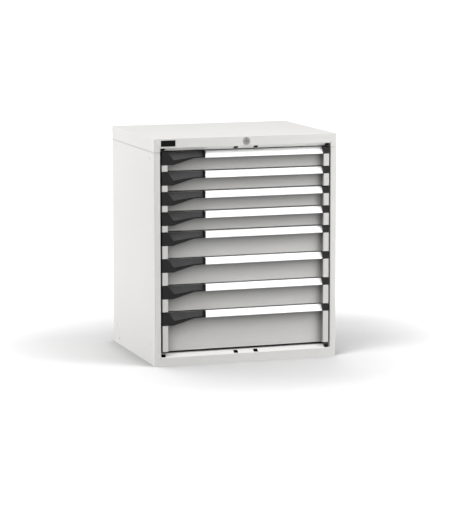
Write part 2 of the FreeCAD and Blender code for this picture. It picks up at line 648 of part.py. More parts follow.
def make_left_side_panel():
    """The left side: one folded sheet that is side, front pillar and rear edge, with a set-in top strip."""
    panel = extruded("side_fold", "XY_Plane", "base_skirt", "panel_top", [
        ("0 - opening_side", "front + pillar_return"),
        ("0 - opening_side", "front"),
        ("0 - cabinet_side", "front"),
        ("0 - cabinet_side", "rear"),
        ("0 - cabinet_side + rear_return", "rear"),
        ("0 - cabinet_side + rear_return", "back_outside"),
        ("0 - side_inside", "back_outside"),
        ("0 - side_inside", "front + shell_sheet"),
        ("0 - opening_side - shell_sheet", "front + shell_sheet"),
        ("0 - opening_side - shell_sheet", "front + pillar_return"),
    ])
    rounded_edges(panel, "side_bends", [("0 - cabinet_side", "front"), ("0 - cabinet_side", "rear")],
                  "bend_radius")
    rounded_edges(panel, "side_inner_bends",
                  [("0 - side_inside", "front + shell_sheet"), ("0 - side_inside", "back_outside")],
                  "bend_radius - shell_sheet")
    rounded_edges(panel, "pillar_bend", [("0 - opening_side", "front")], "shell_sheet")
    strip_heights = ("strip_bottom", "cover_underside")
    side_strip = block("side_strip", ("0 - side_inside", "0 - side_inside + shell_sheet"),
                       ("front + 2 * shell_sheet", "back_inside"), strip_heights)
    front_strip = block("front_strip", ("0 - side_inside + shell_sheet", "0 - opening_side"),
                        ("front + shell_sheet", "front + 2 * shell_sheet"), strip_heights)
    corner_strip = block("corner_strip",
                         ("0 - side_inside + shell_sheet / 2", "0 - side_inside + shell_sheet"),
                         ("front + shell_sheet", "front + 2 * shell_sheet"), strip_heights)
    edge = ("0 - opening_side - shell_sheet", "0 - opening_side")
    depth = ("front + shell_sheet", "front + pillar_return")
    upper_return = block("upper_return", edge, depth, ("strip_bottom", "opening_top"))
    lower_return = block("lower_return", edge, ("front + shell_sheet", "front + bottom_lip_depth"),
                         ("bottom_rail_height", "base_skirt + shell_sheet"))
    whole = joined("side_whole", [panel, side_strip, front_strip, corner_strip, upper_return, lower_return])
    through = ("0 - cabinet_side - shell_sheet", "0 - side_inside + shell_sheet / 2")
    cutters = [capsule(f"plug_slot_{index}", through, y, z, "plug_slot_width", "plug_slot_height")
               for index, (y, z) in enumerate(PLUG_SPOTS, start=1)]
    return less("left_side_panel", whole, cutters + screw_holes("left_screw_hole", -1))


def make_back_panel():
    """The flat back panel between the side panels' rear edges."""
    sheet = block("back_sheet", ("0 - side_inside + shell_sheet", "side_inside - shell_sheet"),
                  ("back_inside", "back_outside"), ("pan_top", "cover_underside"))
    return less("back_panel", sheet, screw_holes("back_hole_left", -1) + screw_holes("back_hole_right", 1))


def make_back_screws():
    """The pan-headed screws of the back panel."""
    screws = []
    for side, word in ((-1, "left"), (1, "right")):
        for row, height in enumerate(screw_heights(), start=1):
            spot = (f"{side} * (cabinet_side - screw_inset)", height)
            name = f"screw_{word}_{row}"
            head = rod(name + "_head", "Y", spot, "rear", "rear + screw_head_height", "screw_head_radius")
            shank = rod(name + "_shank", "Y", spot, "rear - screw_length", "rear", "screw_radius")
            screws.append(joined(name, [head, shank]))
    return together("back_panel_screws", screws)


def make_side_plugs():
    """The oval plugs that close the slots in both side panels."""
    plugs = []
    for index, (y, z) in enumerate(PLUG_SPOTS, start=1):
        stem = capsule(f"plug_stem_{index}", ("0 - cabinet_side + plug_recess", "0 - side_inside"), y, z,
                       "plug_slot_width - 2 * plug_gap", "plug_slot_height - 2 * plug_gap")
        edge = capsule(f"plug_edge_{index}", ("0 - side_inside", "0 - side_inside + plug_flange_thickness"),
                       y, z, "plug_slot_width + 2 * plug_flange", "plug_slot_height + 2 * plug_flange")
        plugs.append(joined(f"plug_{index}", [stem, edge]))
    left = together("left_plugs", plugs)
    return together("side_panel_plugs", [left, mirrored("right_plugs", left)])


def make_posts():
    """The four slotted uprights that carry the rails."""
    front, back = "front_post_front", "front_post_front + post_width"
    post = extruded("front_right_post", "XY_Plane", "pan_top", "strip_bottom", [
        ("post_face", front),
        ("side_inside", front),
        ("side_inside", f"{front} + shell_sheet"),
        ("post_face + shell_sheet", f"{front} + shell_sheet"),
        ("post_face + shell_sheet", f"{back} - shell_sheet"),
        ("side_inside", f"{back} - shell_sheet"),
        ("side_inside", back),
        ("post_face", back),
    ])
    sketch = sketch_on(post, "post_slots", "YZ_Plane", "post_face - shell_sheet")
    first = "pan_top + post_slot_first"
    for side in (-1, 1):
        middle = f"front_post_middle + {side} * post_slot_spacing / 2"
        draw_outline(sketch, rectangle((f"{middle} - post_slot_width / 2", f"{middle} + post_slot_width / 2"),
                                       (first, f"{first} + post_slot_height")))
    pocket = post.newObject("PartDesign::Pocket", "post_slot_cut")
    pocket.Profile = sketch
    pocket.Reversed = True
    bind(pocket, Length="3 * shell_sheet")
    DOC.recompute()
    rows = "floor((strip_bottom - pan_top - 2 * post_slot_first - post_slot_height) / height_unit)"
    pattern = post.newObject("PartDesign::LinearPattern", "post_slot_rows")
    pattern.Originals = [pocket]
    pattern.Direction = (sketch, ["V_Axis"])
    bind(pattern, Length=f"{rows} * height_unit", Occurrences=f"{rows} + 1")
    post.Tip = pattern
    rear = copied("rear_right_post", post, y="rear_post_middle - front_post_middle")
    return [post, rear, mirrored("front_left_post", post), mirrored("rear_left_post", rear)]


def make_rails():
    """The fixed channels on the uprights; the left ones carry the keepers of the drawer latches."""
    upper, lower = drop("rail_top_drop"), drop("runner_drop + runner_height / 2")
    rail = extruded("rail_channel", "XZ_Plane", "rail_front", "rail_rear", [
        ("rail_edge", lower),
        ("post_face", lower),
        ("post_face", upper),
        ("rail_edge", upper),
        ("rail_edge", f"{upper} - runner_sheet"),
        ("post_face - runner_sheet", f"{upper} - runner_sheet"),
        ("post_face - runner_sheet", f"{lower} + runner_sheet"),
        ("rail_edge", f"{lower} + runner_sheet"),
    ])
    keeper_back = "front + latch_arm_rear - latch_nose_length - keeper_front_gap"
    keeper_y = (f"{keeper_back} - runner_sheet", keeper_back)
    keeper_top = drop("latch_nose_drop + keeper_gap")
    stem = block("keeper_stem", ("rail_edge", "post_face"), keeper_y, (upper, keeper_top))
    finger = block("keeper_finger", ("front_side - latch_arm_start - latch_arm_width", "post_face"), keeper_y,
                   (f"{keeper_top} - keeper_height", keeper_top))
    keeper_rail = mirrored("left_rail_channel", joined("keeper_rail", [rail, stem, finger]))
    groups = []
    for name, source in (("left_rails", keeper_rail), ("right_rails", rail)):
        copies = [copied(f"{name}_{number}", source, z=space_top(number))
                  for number in range(1, len(FRONTS) + 1)]
        groups.append(together(name, copies))
    return groups


# Lock

def make_lock_housing():
    """The lock's ring and barrel."""
    ring = rod("lock_ring", "Y", ("0", "lock_z"), "front - lock_ring_proud", "front", "lock_ring_radius")
    barrel = rod("lock_barrel", "Y", ("0", "lock_z"), "front", "barrel_end", "lock_barrel_radius")
    bore = rod("lock_bore", "Y", ("0", "lock_z"), "front - 2 * lock_ring_proud", "barrel_end + cam_gap",
               "lock_bore_radius")
    return less("lock_housing", joined("lock_body", [ring, barrel]), [bore])


def make_lock_nut():
    """The hexagon nut that holds the lock in the cover."""
    nut = DOC.addObject("Part::Prism", "nut_blank")
    nut.Polygon = 6
    nut.Placement.Rotation = TURNS["Y"]
    bind(nut, Circumradius="lock_nut_radius", Height="lock_nut_height")
    place(nut, "0", "front + shell_sheet", "lock_z")
    hole = rod("nut_hole", "Y", ("0", "lock_z"), "front", "barrel_end", "lock_barrel_radius")
    return less("lock_nut", nut, [hole])


def make_lock_plug():
    """The turning plug with its keyway."""
    face = "front - lock_ring_proud + plug_setback"
    plug = rod("plug_blank", "Y", ("0", "lock_z"), face, "cam_front", "lock_bore_radius - pivot_clearance")
    keyway = block("keyway", ("0 - key_slot_width / 2", "key_slot_width / 2"),
                   ("front - 2 * lock_ring_proud", f"{face} + key_slot_depth"),
                   ("lock_z - key_slot_height / 2", "lock_z + key_slot_height / 2"))
    return less("lock_plug", plug, [keyway])


def make_lock_cam():
    """The cam behind the lock, with the pin that lifts the lock bar."""
    pin = ("cam_offset", "lock_z - cam_offset")
    hub = rod("cam_hub", "Y", ("0", "lock_z"), "cam_front", "cam_back", "cam_hub_radius")
    tip = rod("cam_tip", "Y", pin, "cam_front", "cam_back", "cam_tip_radius")
    stud = rod("cam_stud", "Y", pin, "cam_back", "beam_y + 2 * beam_thickness", "cam_pin_radius")
    return joined("lock_cam", [hub, tip, stud])


def make_lock_bar():
    """The lock bar: a beam behind the top rail and an upright rod with one tab for each drawer."""
    beam_z = ("beam_middle - beam_height / 2", "beam_middle + beam_height / 2")
    beam = block("lock_beam", ("0 - beam_overhang", "rod_outer"), ("beam_y", "beam_y + beam_thickness"),
                 beam_z)
    rod_z = ("pan_top + rod_foot", beam_z[1])
    pieces = [beam, block("lock_rod", ("rod_inner", "rod_outer"), ("rod_y", "rod_back"), rod_z)]
    for number in range(1, len(FRONTS) + 1):
        foot = f"{space_top(number)} - rail_top_drop + tab_rise"
        pieces.append(block(f"lock_tab_{number}", ("lug_edge + lug_gap", "rod_inner"),
                            ("front + tab_front", "front + tab_front + tab_width"),
                            (foot, f"{foot} + tab_height")))
    play = "(cam_pin_radius + cam_pin_gap)"
    slot = block("cam_slot", (f"cam_offset - {play}", f"cam_throw + {play}"),
                 ("beam_y - beam_thickness", "beam_y + 2 * beam_thickness"),
                 (f"beam_middle - {play}", f"beam_middle + {play}"))
    return less("lock_bar", joined("lock_bar_whole", pieces), [slot])


def make_lock_guides():
    """The guides of the lock rod, on the front right upright."""
    guides = []
    for number in GUIDED_DRAWERS:
        foot = f"{space_top(number)} - guide_drop"
        outside = block(f"guide_outside_{number}",
                        ("rod_inner - guide_gap - guide_wall", "rod_outer + guide_gap + guide_wall"),
                        ("rod_y - guide_gap - guide_wall", "front_post_front"),
                        (foot, f"{foot} + guide_height"))
        inside = block(f"guide_inside_{number}", ("rod_inner - guide_gap", "rod_outer + guide_gap"),
                       ("rod_y - guide_gap", "rod_back + guide_gap"),
                       (f"{foot} - guide_wall", f"{foot} + guide_height + guide_wall"))
        guides.append(less(f"guide_{number}", outside, [inside]))
    return together("lock_bar_guides", guides)


def make_badge_plate():
    """The plain black plate at the top left."""
    left = "0 - cabinet_side + badge_left"
    top = "cabinet_top - badge_drop"
    return block("badge_plate", (left, f"{left} + badge_width"), ("front - badge_thickness", "front"),
                 (f"{top} - badge_height", top))


# Drawers, each drawn with the top of its space at height zero

def divider_slots(name, foot, head):
    """The divider slots of a tray: rows through both side walls and the rear wall."""
    slots = []
    z = (foot, head)
    half = "divider_slot_width / 2"
    for row in range(1, int(value("drawer_inner_depth / divider_pitch"))):
        middle = f"tray_front + {row} * divider_pitch"
        y = (f"{middle} - {half}", f"{middle} + {half}")
        slots.append(block(f"{name}_left_{row}", ("0 - wall_outer", "0 - wall_inner"), y, z))
        slots.append(block(f"{name}_right_{row}", ("wall_inner", "wall_outer"), y, z))
    for row in range(1, int(value("drawer_inner_width / divider_pitch"))):
        middle = f"{row} * divider_pitch - wall_inner"
        slots.append(block(f"{name}_rear_{row}", (f"{middle} - {half}", f"{middle} + {half}"),
                           ("tray_inner_back", "tray_back"), z))
    return slots


def make_front_end(name, side, top, bottom):
    """The folded end of a front: flange, outer edge and the inner face beside the recess."""
    def span(near, far):
        return (near, far) if side > 0 else (f"0 - ({far})", f"0 - ({near})")

    z = (bottom, top)
    depth = ("front", "panel_face")
    flange = block(name + "_flange", span("recess_side", "front_side"), ("front", "front + drawer_sheet"), z)
    outer = block(name + "_outer", span("front_side - drawer_sheet", "front_side"), depth, z)
    inner = block(name + "_inner", span("recess_side", "recess_side + drawer_sheet"), depth, z)
    return [flange, outer, inner]


def make_drawer_rail(name, side):
    """The channel welded to one side wall of a tray."""
    def span(near, far):
        return (near, far) if side > 0 else (f"0 - ({far})", f"0 - ({near})")

    upper, lower = drop("rail_top_drop"), drop("runner_drop + runner_height / 2")
    length = ("tray_front", "tray_back")
    edge = span("wall_outer", "drawer_rail_edge")
    web = block(name + "_web", span("wall_outer", "wall_outer + runner_sheet"), length, (lower, upper))
    top = block(name + "_top", edge, length, (f"{upper} - runner_sheet", upper))
    bottom = block(name + "_bottom", edge, length, (lower, f"{lower} + runner_sheet"))
    return [web, top, bottom]


def make_tray(kind):
    """A drawer: folded tray, recessed front with its two ends, channels and the catch for the lock."""
    name = f"{kind}_tray"
    bottom = drop(f"height_unit * {kind}_front_units")
    floor = f"{bottom} + tray_floor_gap"
    wall_top = drop("tray_top_gap")
    length = ("tray_front", "tray_back")
    pieces = [
        block(name + "_floor", ("0 - wall_outer", "wall_outer"), length, (floor, f"{floor} + drawer_sheet")),
        block(name + "_left_wall", ("0 - wall_outer", "0 - wall_inner"), length, (floor, wall_top)),
        block(name + "_right_wall", ("wall_inner", "wall_outer"), length, (floor, wall_top)),
        block(name + "_rear_wall", ("0 - wall_outer", "wall_outer"), ("tray_inner_back", "tray_back"),
              (floor, wall_top)),
        block(name + "_panel", ("0 - front_side", "front_side"), ("panel_face", "tray_front"),
              (bottom, drop("front_top_gap"))),
        extruded(name + "_flare", "YZ_Plane", "0 - recess_side", "recess_side", [
            ("panel_face - front_flare", bottom),
            ("panel_face + drawer_sheet / 2", bottom),
            ("panel_face + drawer_sheet / 2", f"{bottom} + front_flare"),
            ("panel_face", f"{bottom} + front_flare"),
        ]),
        block(name + "_catch", ("wall_outer", "lug_edge"), ("lug_front", "lug_front + lug_thickness"),
              (drop("lug_drop + lug_height"), drop("lug_drop"))),
    ]
    pieces += make_front_end(name + "_left_end", -1, drop("grip_drop"), bottom)
    pieces += make_front_end(name + "_right_end", 1, drop("cap_drop"), bottom)
    pieces += make_drawer_rail(name + "_left_rail", -1) + make_drawer_rail(name + "_right_rail", 1)
    arm_left = "grip_left + latch_arm_start"
    notch = block(name + "_latch_notch",
                  (f"{arm_left} - latch_clearance", f"{arm_left} + latch_arm_width + latch_clearance"),
                  ("panel_face - drawer_sheet", "tray_front + drawer_sheet"),
                  (drop("latch_nose_drop + latch_clearance"), "0"))
    slots = divider_slots(name + "_slot", f"{floor} + drawer_sheet + divider_slot_margin",
                          f"{wall_top} - divider_slot_margin")
    return less(name, joined(name + "_whole", pieces), [notch] + slots)


def slab(name, x, depth, drop_below, run, fall, face, wall):
    """A sloping plate: its lower front edge is given, and it leans back over a run and a fall."""
    item = DOC.addObject("Part::Box", name)
    bind(item, Length=f"({x[1]}) - ({x[0]})", Width=wall, Height=face)
    item.Placement.Rotation = FreeCAD.Rotation(FreeCAD.Vector(-1, 0, 0), 1)
    item.setExpression("Placement.Rotation.Angle", bound(f"atan2({run}; {fall})"))
    place(item, x[0], f"front + {depth}", drop(drop_below))
    return item


def make_handle():
    """The extruded handle: a sloping label face over a finger recess, with a fixing leg behind."""
    width = ("grip_right", "handle_right")
    slope = ("handle_run", "handle_fall")
    plate = slab("handle_plate", width, "handle_bottom_depth", "handle_bottom_drop", *slope, "handle_face",
                 "handle_wall")
    bead = rod("handle_bead", "X", ("front + handle_bottom_depth + handle_bead_radius * handle_cosine",
                                    drop("handle_bottom_drop + handle_bead_radius * handle_sine")),
               *width, "handle_bead_radius")
    leg = block("handle_back", width, ("panel_face - handle_leg", "panel_face"),
                (drop("handle_leg_length"), drop("front_top_gap")))
    groove = slab("handle_groove", width,
                  "handle_bottom_depth + label_margin * handle_sine - handle_wall * handle_cosine",
                  "handle_bottom_drop - label_margin * handle_cosine - handle_wall * handle_sine", *slope,
                  "handle_face - 2 * label_margin", "handle_wall + label_groove")
    behind = block("handle_behind", (f"{width[0]} - handle_wall", f"{width[1]} + handle_wall"),
                   ("panel_face", "panel_face + recess_depth"), (drop("grip_drop"), "front_top_gap"))
    return less("handle_master", joined("handle_whole", [plate, bead, leg]), [groove, behind])


def lever_outline(gap, below, top):
    """The thumb lever's outline seen from the front, grown by a gap beside and another below."""
    left = f"grip_left + lever_left - {gap}"
    right = f"lever_right + {gap}"
    return [
        (f"{left} - lever_lean * (({top}) + lever_top_drop)", top),
        (f"{left} + lever_slant + lever_lean * ({below})", f"0 - lever_heel_drop - {below}"),
        ("grip_left + grip_waist", f"0 - lever_waist_drop - {below}"),
        (right, f"0 - lever_tail_drop - {below}"),
        (right, top),
    ]


def make_grip():
    """The black grip at the left end of the handle, open where the thumb lever sits."""
    body = extruded("grip_block", "XZ_Plane", "front", "panel_face", [
        ("grip_left", drop("front_top_gap")),
        ("grip_left", drop("grip_drop")),
        ("grip_left + grip_heel", drop("grip_drop")),
        ("grip_left + grip_waist", drop("grip_waist_drop")),
        ("grip_right", drop("grip_tail_drop")),
        ("grip_right", drop("front_top_gap")),
    ])
    window = extruded("grip_window", "XZ_Plane", "front - lever_gap", "panel_face + lever_gap",
                      lever_outline("lever_gap", "lever_swing_gap", "lever_gap"))
    hollow_left = "grip_left + cap_wall"
    hollow = block("grip_hollow", (hollow_left, f"{hollow_left} + latch_cavity"),
                   ("front + cap_wall", "panel_face + cap_wall"),
                   (drop("latch_cavity_drop"), drop("lever_pivot_drop - latch_arm_height")))
    hollow_top = block("grip_arm_way", (hollow_left, f"{hollow_left} + latch_cavity"),
                       ("front + handle_top_depth - latch_arm_height", "panel_face + cap_wall"),
                       (drop("latch_cavity_drop"), "lever_gap"))
    pivot = ("pivot_y", drop("lever_pivot_drop"))
    bore_radius = "lever_pivot_radius + pivot_clearance"
    left_bore = rod("grip_left_bore", "X", pivot, hollow_left, "grip_left + lever_left + lever_slant",
                    bore_radius)
    right_bore = rod("grip_right_bore", "X", pivot, "lever_right - grip_rim",
                     "lever_right + lever_gap + pivot_hold + pivot_clearance", bore_radius)
    lower_hollow = block("grip_lower_hollow", (hollow_left, "grip_left + grip_heel - cap_wall"),
                         ("front + cap_wall", "panel_face + cap_wall"),
                         (drop("grip_drop - cap_wall"), drop("lever_heel_drop + lever_swing_gap + cap_wall")))
    waste = joined("grip_waste", [window, hollow, hollow_top, left_bore, right_bore, lower_hollow])
    return less("grip", body, [waste])


def make_end_cap():
    """The black cap at the right end of the handle, hollow from behind."""
    width = ("handle_right", "front_side")
    cap = block("cap_block", width, ("front", "panel_face"), (drop("cap_drop"), drop("front_top_gap")))
    hollow = block("cap_hollow", ("recess_side + cap_wall", "front_side - cap_wall"),
                   ("front + cap_wall", "panel_face + cap_wall"),
                   (drop("cap_drop - cap_wall"), drop("front_top_gap + cap_wall")))
    return less("end_cap", cap, [hollow])


def make_lever():
    """The thumb lever with its pivot, and the arm and nose that hold the drawer shut."""
    outline = lever_outline("0", "0", drop("lever_top_drop"))
    plan = extruded("lever_plan", "XZ_Plane", "front", "panel_face", outline)
    rounded_edges(plan, "lever_corner", [outline[1]], "lever_corner_radius", "Y")
    slope = ("lever_run", "lever_fall")
    plate = slab("lever_slab", ("grip_left", "grip_right"), "lever_heel_depth - lever_slope * lever_wall",
                 "lever_heel_drop + lever_wall", *slope, "lever_face + 3 * lever_wall", "lever_wall")
    face = DOC.addObject("Part::MultiCommon", "lever_plate")
    face.Shapes = [plan, plate]
    pivot = ("pivot_y", drop("lever_pivot_drop"))
    arm_left = "grip_left + latch_arm_start"
    arm_right = f"{arm_left} + latch_arm_width"
    left_pin = rod("lever_left_pin", "X", pivot, arm_left, "grip_left + lever_left + lever_slant",
                   "lever_pivot_radius")
    right_pin = rod("lever_right_pin", "X", pivot, "lever_right - grip_rim",
                    "lever_right + lever_gap + pivot_hold", "lever_pivot_radius")
    arm_z = (drop("lever_pivot_drop + latch_arm_height / 2"), drop("lever_pivot_drop - latch_arm_height / 2"))
    arm = block("latch_arm", (arm_left, arm_right),
                ("pivot_y - latch_arm_height / 2", "front + latch_arm_rear"), arm_z)
    nose = block("latch_nose", (arm_left, arm_right),
                 ("front + latch_arm_rear - latch_nose_length", "front + latch_arm_rear"),
                 (drop("latch_nose_drop"), arm_z[1]))
    return joined("latch_master", [face, left_pin, right_pin, arm, nose])


def make_roller(name, start, end, far, y):
    """A roller with its riveted pin: the roller stands on one face of the bar, the head on the other."""
    outward = start == "bar_outer"
    centre = (y, drop("runner_drop"))
    wheel = rod(name + "_wheel", "X", centre, *((start, end) if outward else (end, start)),
                "runner_height / 2 - runner_sheet - roller_gap")
    pin = rod(name + "_pin", "X", centre, "bar_inner", "bar_outer", "roller_pin_radius")
    head_span = (f"{far} - pin_head_height", far) if outward else (far, f"{far} + pin_head_height")
    head = rod(name + "_head", "X", centre, *head_span, "pin_head_radius")
    return joined(name, [wheel, pin, head])


def make_runners():
    """The moving bars of a drawer's runners, each with two rollers for either channel."""
    outer = ["bar_rear - roller_inset", "rail_front + front_roller_inset + drawer_travel / 2"]
    inner = ["bar_front + roller_inset", "tray_back - roller_inset - drawer_travel / 2"]
    heights = (drop("runner_drop + bar_height / 2"), drop("runner_drop - bar_height / 2"))
    bar = extruded("runner_bar", "YZ_Plane", "bar_inner", "bar_outer",
                   rectangle(("bar_front", "bar_rear"), heights),
                   [((y, drop("runner_drop")), "roller_pin_radius") for y in outer + inner])
    pieces = [bar]
    for index, y in enumerate(outer, start=1):
        pieces.append(make_roller(f"outer_roller_{index}", "bar_outer",
                                  "post_face - runner_sheet - roller_side_gap", "bar_inner", y))
    for index, y in enumerate(inner, start=1):
        pieces.append(make_roller(f"inner_roller_{index}", "bar_inner",
                                  "wall_outer + runner_sheet + roller_side_gap", "bar_outer", y))
    right = together("right_runner", pieces)
    return together("runners_master", [right, mirrored("left_runner", right)])


def make_drawers():
    """Eight drawers, each as five sub-parts at its own height."""
    trays = {kind: make_tray(kind) for kind in dict.fromkeys(FRONTS)}
    handle = make_handle()
    caps = together("end_caps_master", [make_grip(), make_end_cap()])
    latch = make_lever()
    runners = make_runners()
    nodes = []
    for number, kind in enumerate(FRONTS, start=1):
        sources = (("tray", trays[kind]), ("handle", handle), ("end_caps", caps), ("latch", latch),
                   ("runners", runners))
        for word, source in sources:
            nodes.append(copied(f"drawer_{number}_{word}", source, z=space_top(number)))
    return nodes


def make_cabinet():
    """Every sub-part of the cabinet; each one's label names its file."""
    left_side = make_left_side_panel()
    nodes = [make_base_tray(), make_top_cover(), left_side, mirrored("right_side_panel", left_side)]
    nodes += [make_back_panel(), make_back_screws(), make_side_plugs()]
    nodes += make_posts() + make_rails()
    nodes += [make_lock_housing(), make_lock_nut(), make_lock_plug(), make_lock_cam(), make_lock_bar()]
    nodes += [make_lock_guides(), make_badge_plate()]
    return nodes + make_drawers()


def check_document(nodes):
    """Stops if any object failed or any sub-part has no sound shape."""
    failed = [item.Name for item in DOC.Objects if {"Invalid", "Error"} & set(item.State)]
    if failed:
        raise RuntimeError("failed objects: " + ", ".join(failed))
    for node in nodes:
        if node.Shape.isNull() or not node.Shape.isValid() or not node.Shape.Solids:
            raise RuntimeError("no sound shape: " + node.Label)


NODES = make_cabinet()
DOC.recompute()
check_document(NODES)
os.makedirs("parts", exist_ok=True)
for node in NODES:
    node.Shape.exportStep(f"parts/{node.Label}.step")
print(f"{len(NODES)} sub-parts, {sum(len(node.Shape.Solids) for node in NODES)} solids")
print("width, depth, height:", value("2 * cabinet_side"), value("cabinet_depth"), value("cabinet_top"))
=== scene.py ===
"""Dresses the drawer cabinet: finishes, labels and small trim, and the studio round it."""
import json
import math
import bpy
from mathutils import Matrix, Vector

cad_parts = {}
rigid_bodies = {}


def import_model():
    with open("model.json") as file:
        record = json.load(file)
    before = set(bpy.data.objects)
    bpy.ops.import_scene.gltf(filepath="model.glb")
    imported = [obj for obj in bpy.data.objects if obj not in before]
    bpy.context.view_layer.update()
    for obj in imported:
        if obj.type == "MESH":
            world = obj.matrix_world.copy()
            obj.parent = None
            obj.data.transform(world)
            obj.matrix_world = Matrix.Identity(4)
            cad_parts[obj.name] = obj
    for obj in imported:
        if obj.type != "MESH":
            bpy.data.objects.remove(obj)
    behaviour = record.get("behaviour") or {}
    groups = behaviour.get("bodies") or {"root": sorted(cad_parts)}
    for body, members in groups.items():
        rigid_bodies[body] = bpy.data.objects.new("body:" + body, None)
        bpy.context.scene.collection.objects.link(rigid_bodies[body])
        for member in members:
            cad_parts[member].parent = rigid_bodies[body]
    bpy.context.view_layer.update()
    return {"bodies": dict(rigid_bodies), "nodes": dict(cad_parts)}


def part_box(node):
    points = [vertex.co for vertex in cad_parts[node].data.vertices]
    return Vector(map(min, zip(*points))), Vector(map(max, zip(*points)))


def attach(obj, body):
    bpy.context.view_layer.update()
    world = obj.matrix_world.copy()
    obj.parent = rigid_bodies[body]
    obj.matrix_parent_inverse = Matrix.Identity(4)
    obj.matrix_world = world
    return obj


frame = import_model()

import bpy
from bpy.props import FloatProperty, FloatVectorProperty, IntProperty, PointerProperty
from mathutils import Matrix, Vector

bl_info = {
    "name": "Drawer Cabinet Finishes",
    "version": (1, 0, 0),
    "blender": (4, 5, 0),
    "location": "3D View > Sidebar > Cabinet",
    "description": "Finishes, labels and studio for a steel drawer cabinet",
    "category": "Object",
}

MM = 0.001
# How far off a face may lie and still count as being at a place; a hair for edges and bars
NEAR = 0.1 * MM
HAIR = 0.01 * MM
# The housing: its top rail, its sheet, the depth of the upper lip and half the width of the hollow behind it
TOP_RAIL = 33.5 * MM
SHEET = 1.5 * MM
LIP_DEPTH = 17.0 * MM
HOLLOW_HALF_WIDTH = 334.0 * MM
# The outer side of the lip looks down at least this much
LIP_OUTSIDE = -0.5
# The hole low in each side: its place behind the middle and above the floor, and its radius
HOLE_PLACE = (205.0 * MM, 23.0 * MM)
HOLE_RADIUS = 3.0 * MM
# The runners' bars lie between these distances from the middle; the rollers stand out of them
BAR_INNER = 320.0 * MM
BAR_OUTER = 323.0 * MM
# A handle's sloping face: its upper edge behind the front and below the top, and its lower edge below the top
HANDLE_TOP_DEPTH = 15.5 * MM
HANDLE_TOP_DROP = 1.5 * MM
HANDLE_BOTTOM_DROP = 22.2 * MM
# The labels' corners, and the air under a label and under its cover
LABEL_CORNER = 1.2 * MM
LABEL_LIFT = 0.03 * MM
# Edges sharper than this are rounded
ROUNDED_ANGLE = math.radians(32)
# Depths of the finishes' texture
COAT_DEPTH = 0.04 * MM
GRAIN_DEPTH = 0.03 * MM
SMOOTH_DEPTH = 0.004 * MM
ZINC_DEPTH = 0.02 * MM
DRAWN_DEPTH = 0.008 * MM
CARD_DEPTH = 0.01 * MM
# Widths of the rubbed edges of paint and of plastic
PAINT_WEAR = 0.9 * MM
PLASTIC_WEAR = 1.2 * MM
# Tones of bare steel, of the painted shade in the hollows, and of dust on paint, on plastic and on metal
BARE_STEEL = (0.42, 0.42, 0.43, 1.0)
HOLLOW_SHADE = (0.012, 0.012, 0.012, 1.0)
PAINT_DUST = (0.62, 0.60, 0.57, 1.0)
PLASTIC_DUST = (0.45, 0.44, 0.42, 1.0)
METAL_DUST = (0.50, 0.49, 0.47, 1.0)
# How far the painted shade in the folds leans towards light from above, and the darkest that it paints a fold
UPWARD_LEAN = 0.8
DARKEST_FOLD_SHADE = 0.32
# Painted shade in the housing's gaps: the openness where it is darkest and where it ends, and its darkest
# tone
CREVICE_OPENNESS = (0.10, 0.75)
DARKEST_GAP_SHADE = 0.10
DRAWERS = sorted(int(body.split("_")[1]) for body in frame["bodies"] if body.startswith("drawer_"))


def colour(name, description, default):
    """A colour a user may change."""
    return FloatVectorProperty(name=name, description=description, default=default, subtype="COLOR",
                               size=3, min=0.0, max=1.0)


def length(name, description, default):
    """A length a user may change, in metres."""
    return FloatProperty(name=name, description=description, default=default, unit="LENGTH", min=0.0,
                         precision=5)


def share(name, description, default):
    """A share from none to all that a user may change."""
    return FloatProperty(name=name, description=description, default=default, subtype="FACTOR",
                         min=0.0, max=1.0)


class CabinetColours(bpy.types.PropertyGroup):
    """The colours of the cabinet's finishes."""

    housing: colour("Housing", "Powder coat of the housing", (0.600, 0.594, 0.582))
    # The drawers' coat is the housing's coat times 0.93: painted shade over the front of each drawer
    shaded_fronts: colour("Drawers", "Powder coat of the drawers", (0.558, 0.552, 0.541))
    grip: colour("Grips", "Black plastic of the grips and end caps", (0.0085, 0.0085, 0.009))
    lever: colour("Thumb levers", "Charcoal plastic of the thumb levers", (0.030, 0.030, 0.031))
    badge: colour("Badge plate", "Plain plate at the top left", (0.004, 0.004, 0.0045))
    plug: colour("Side plugs", "Plastic plugs in the side panels", (0.42, 0.415, 0.405))
    handle: colour("Handles", "Anodised metal of the handles", (0.86, 0.86, 0.86))
    label: colour("Labels", "Paper of the labels", (0.96, 0.96, 0.96))
    window: colour("Label covers", "Clear covers of the labels", (0.97, 0.98, 0.98))
    zinc: colour("Zinc", "Galvanised rails and uprights", (0.56, 0.57, 0.58))
    roller: colour("Rollers", "Steel of the rollers", (0.62, 0.62, 0.61))
    lock: colour("Lock", "Nickel of the lock", (0.40, 0.40, 0.395))
    fastener: colour("Fasteners", "Bright steel of nuts, screws and the cam", (0.66, 0.66, 0.64))


class CabinetSizes(bpy.types.PropertyGroup):
    """The sizes of edges, textures, painted shade and label parts."""

    plastic_edge: length("Plastic edges", "Rounding of the plastic parts' edges", 0.0009)
    small_edge: length("Small edges", "Rounding of the small metal parts' edges", 0.00025)
    coat_grain: length("Coat texture", "Size of the powder coat's ripples", 0.0016)
    plastic_grain: length("Plastic texture", "Size of the plastics' moulded grain", 0.0005)
    spangle: length("Zinc spangle", "Size of the crystals on the zinc", 0.009)
    label_end: length("Label margin", "Label from the end of the handle", 0.007)
    window_end: length("Cover margin", "Label cover from the end of the handle", 0.0012)
    label_rim: length("Handle rim", "Rim of the handle above and below the label", 0.0017)
    groove: length("Groove", "Depth of the handle's groove", 0.0008)
    # How far the painted shade of a fold spreads over the paint beside it
    painted_shade_reach: length("Recess reach", "How far a fold darkens the paint beside it", 0.12)
    # How wide the gaps are that get painted shade, standing in for the shade that falls in them
    gap_shade_reach: length("Crevice reach", "Width of the gaps that gather dirt", 0.004)
    paper: length("Paper", "Thickness of the label", 0.0002)
    window: length("Cover thickness", "Thickness of the label's clear cover", 0.0005)


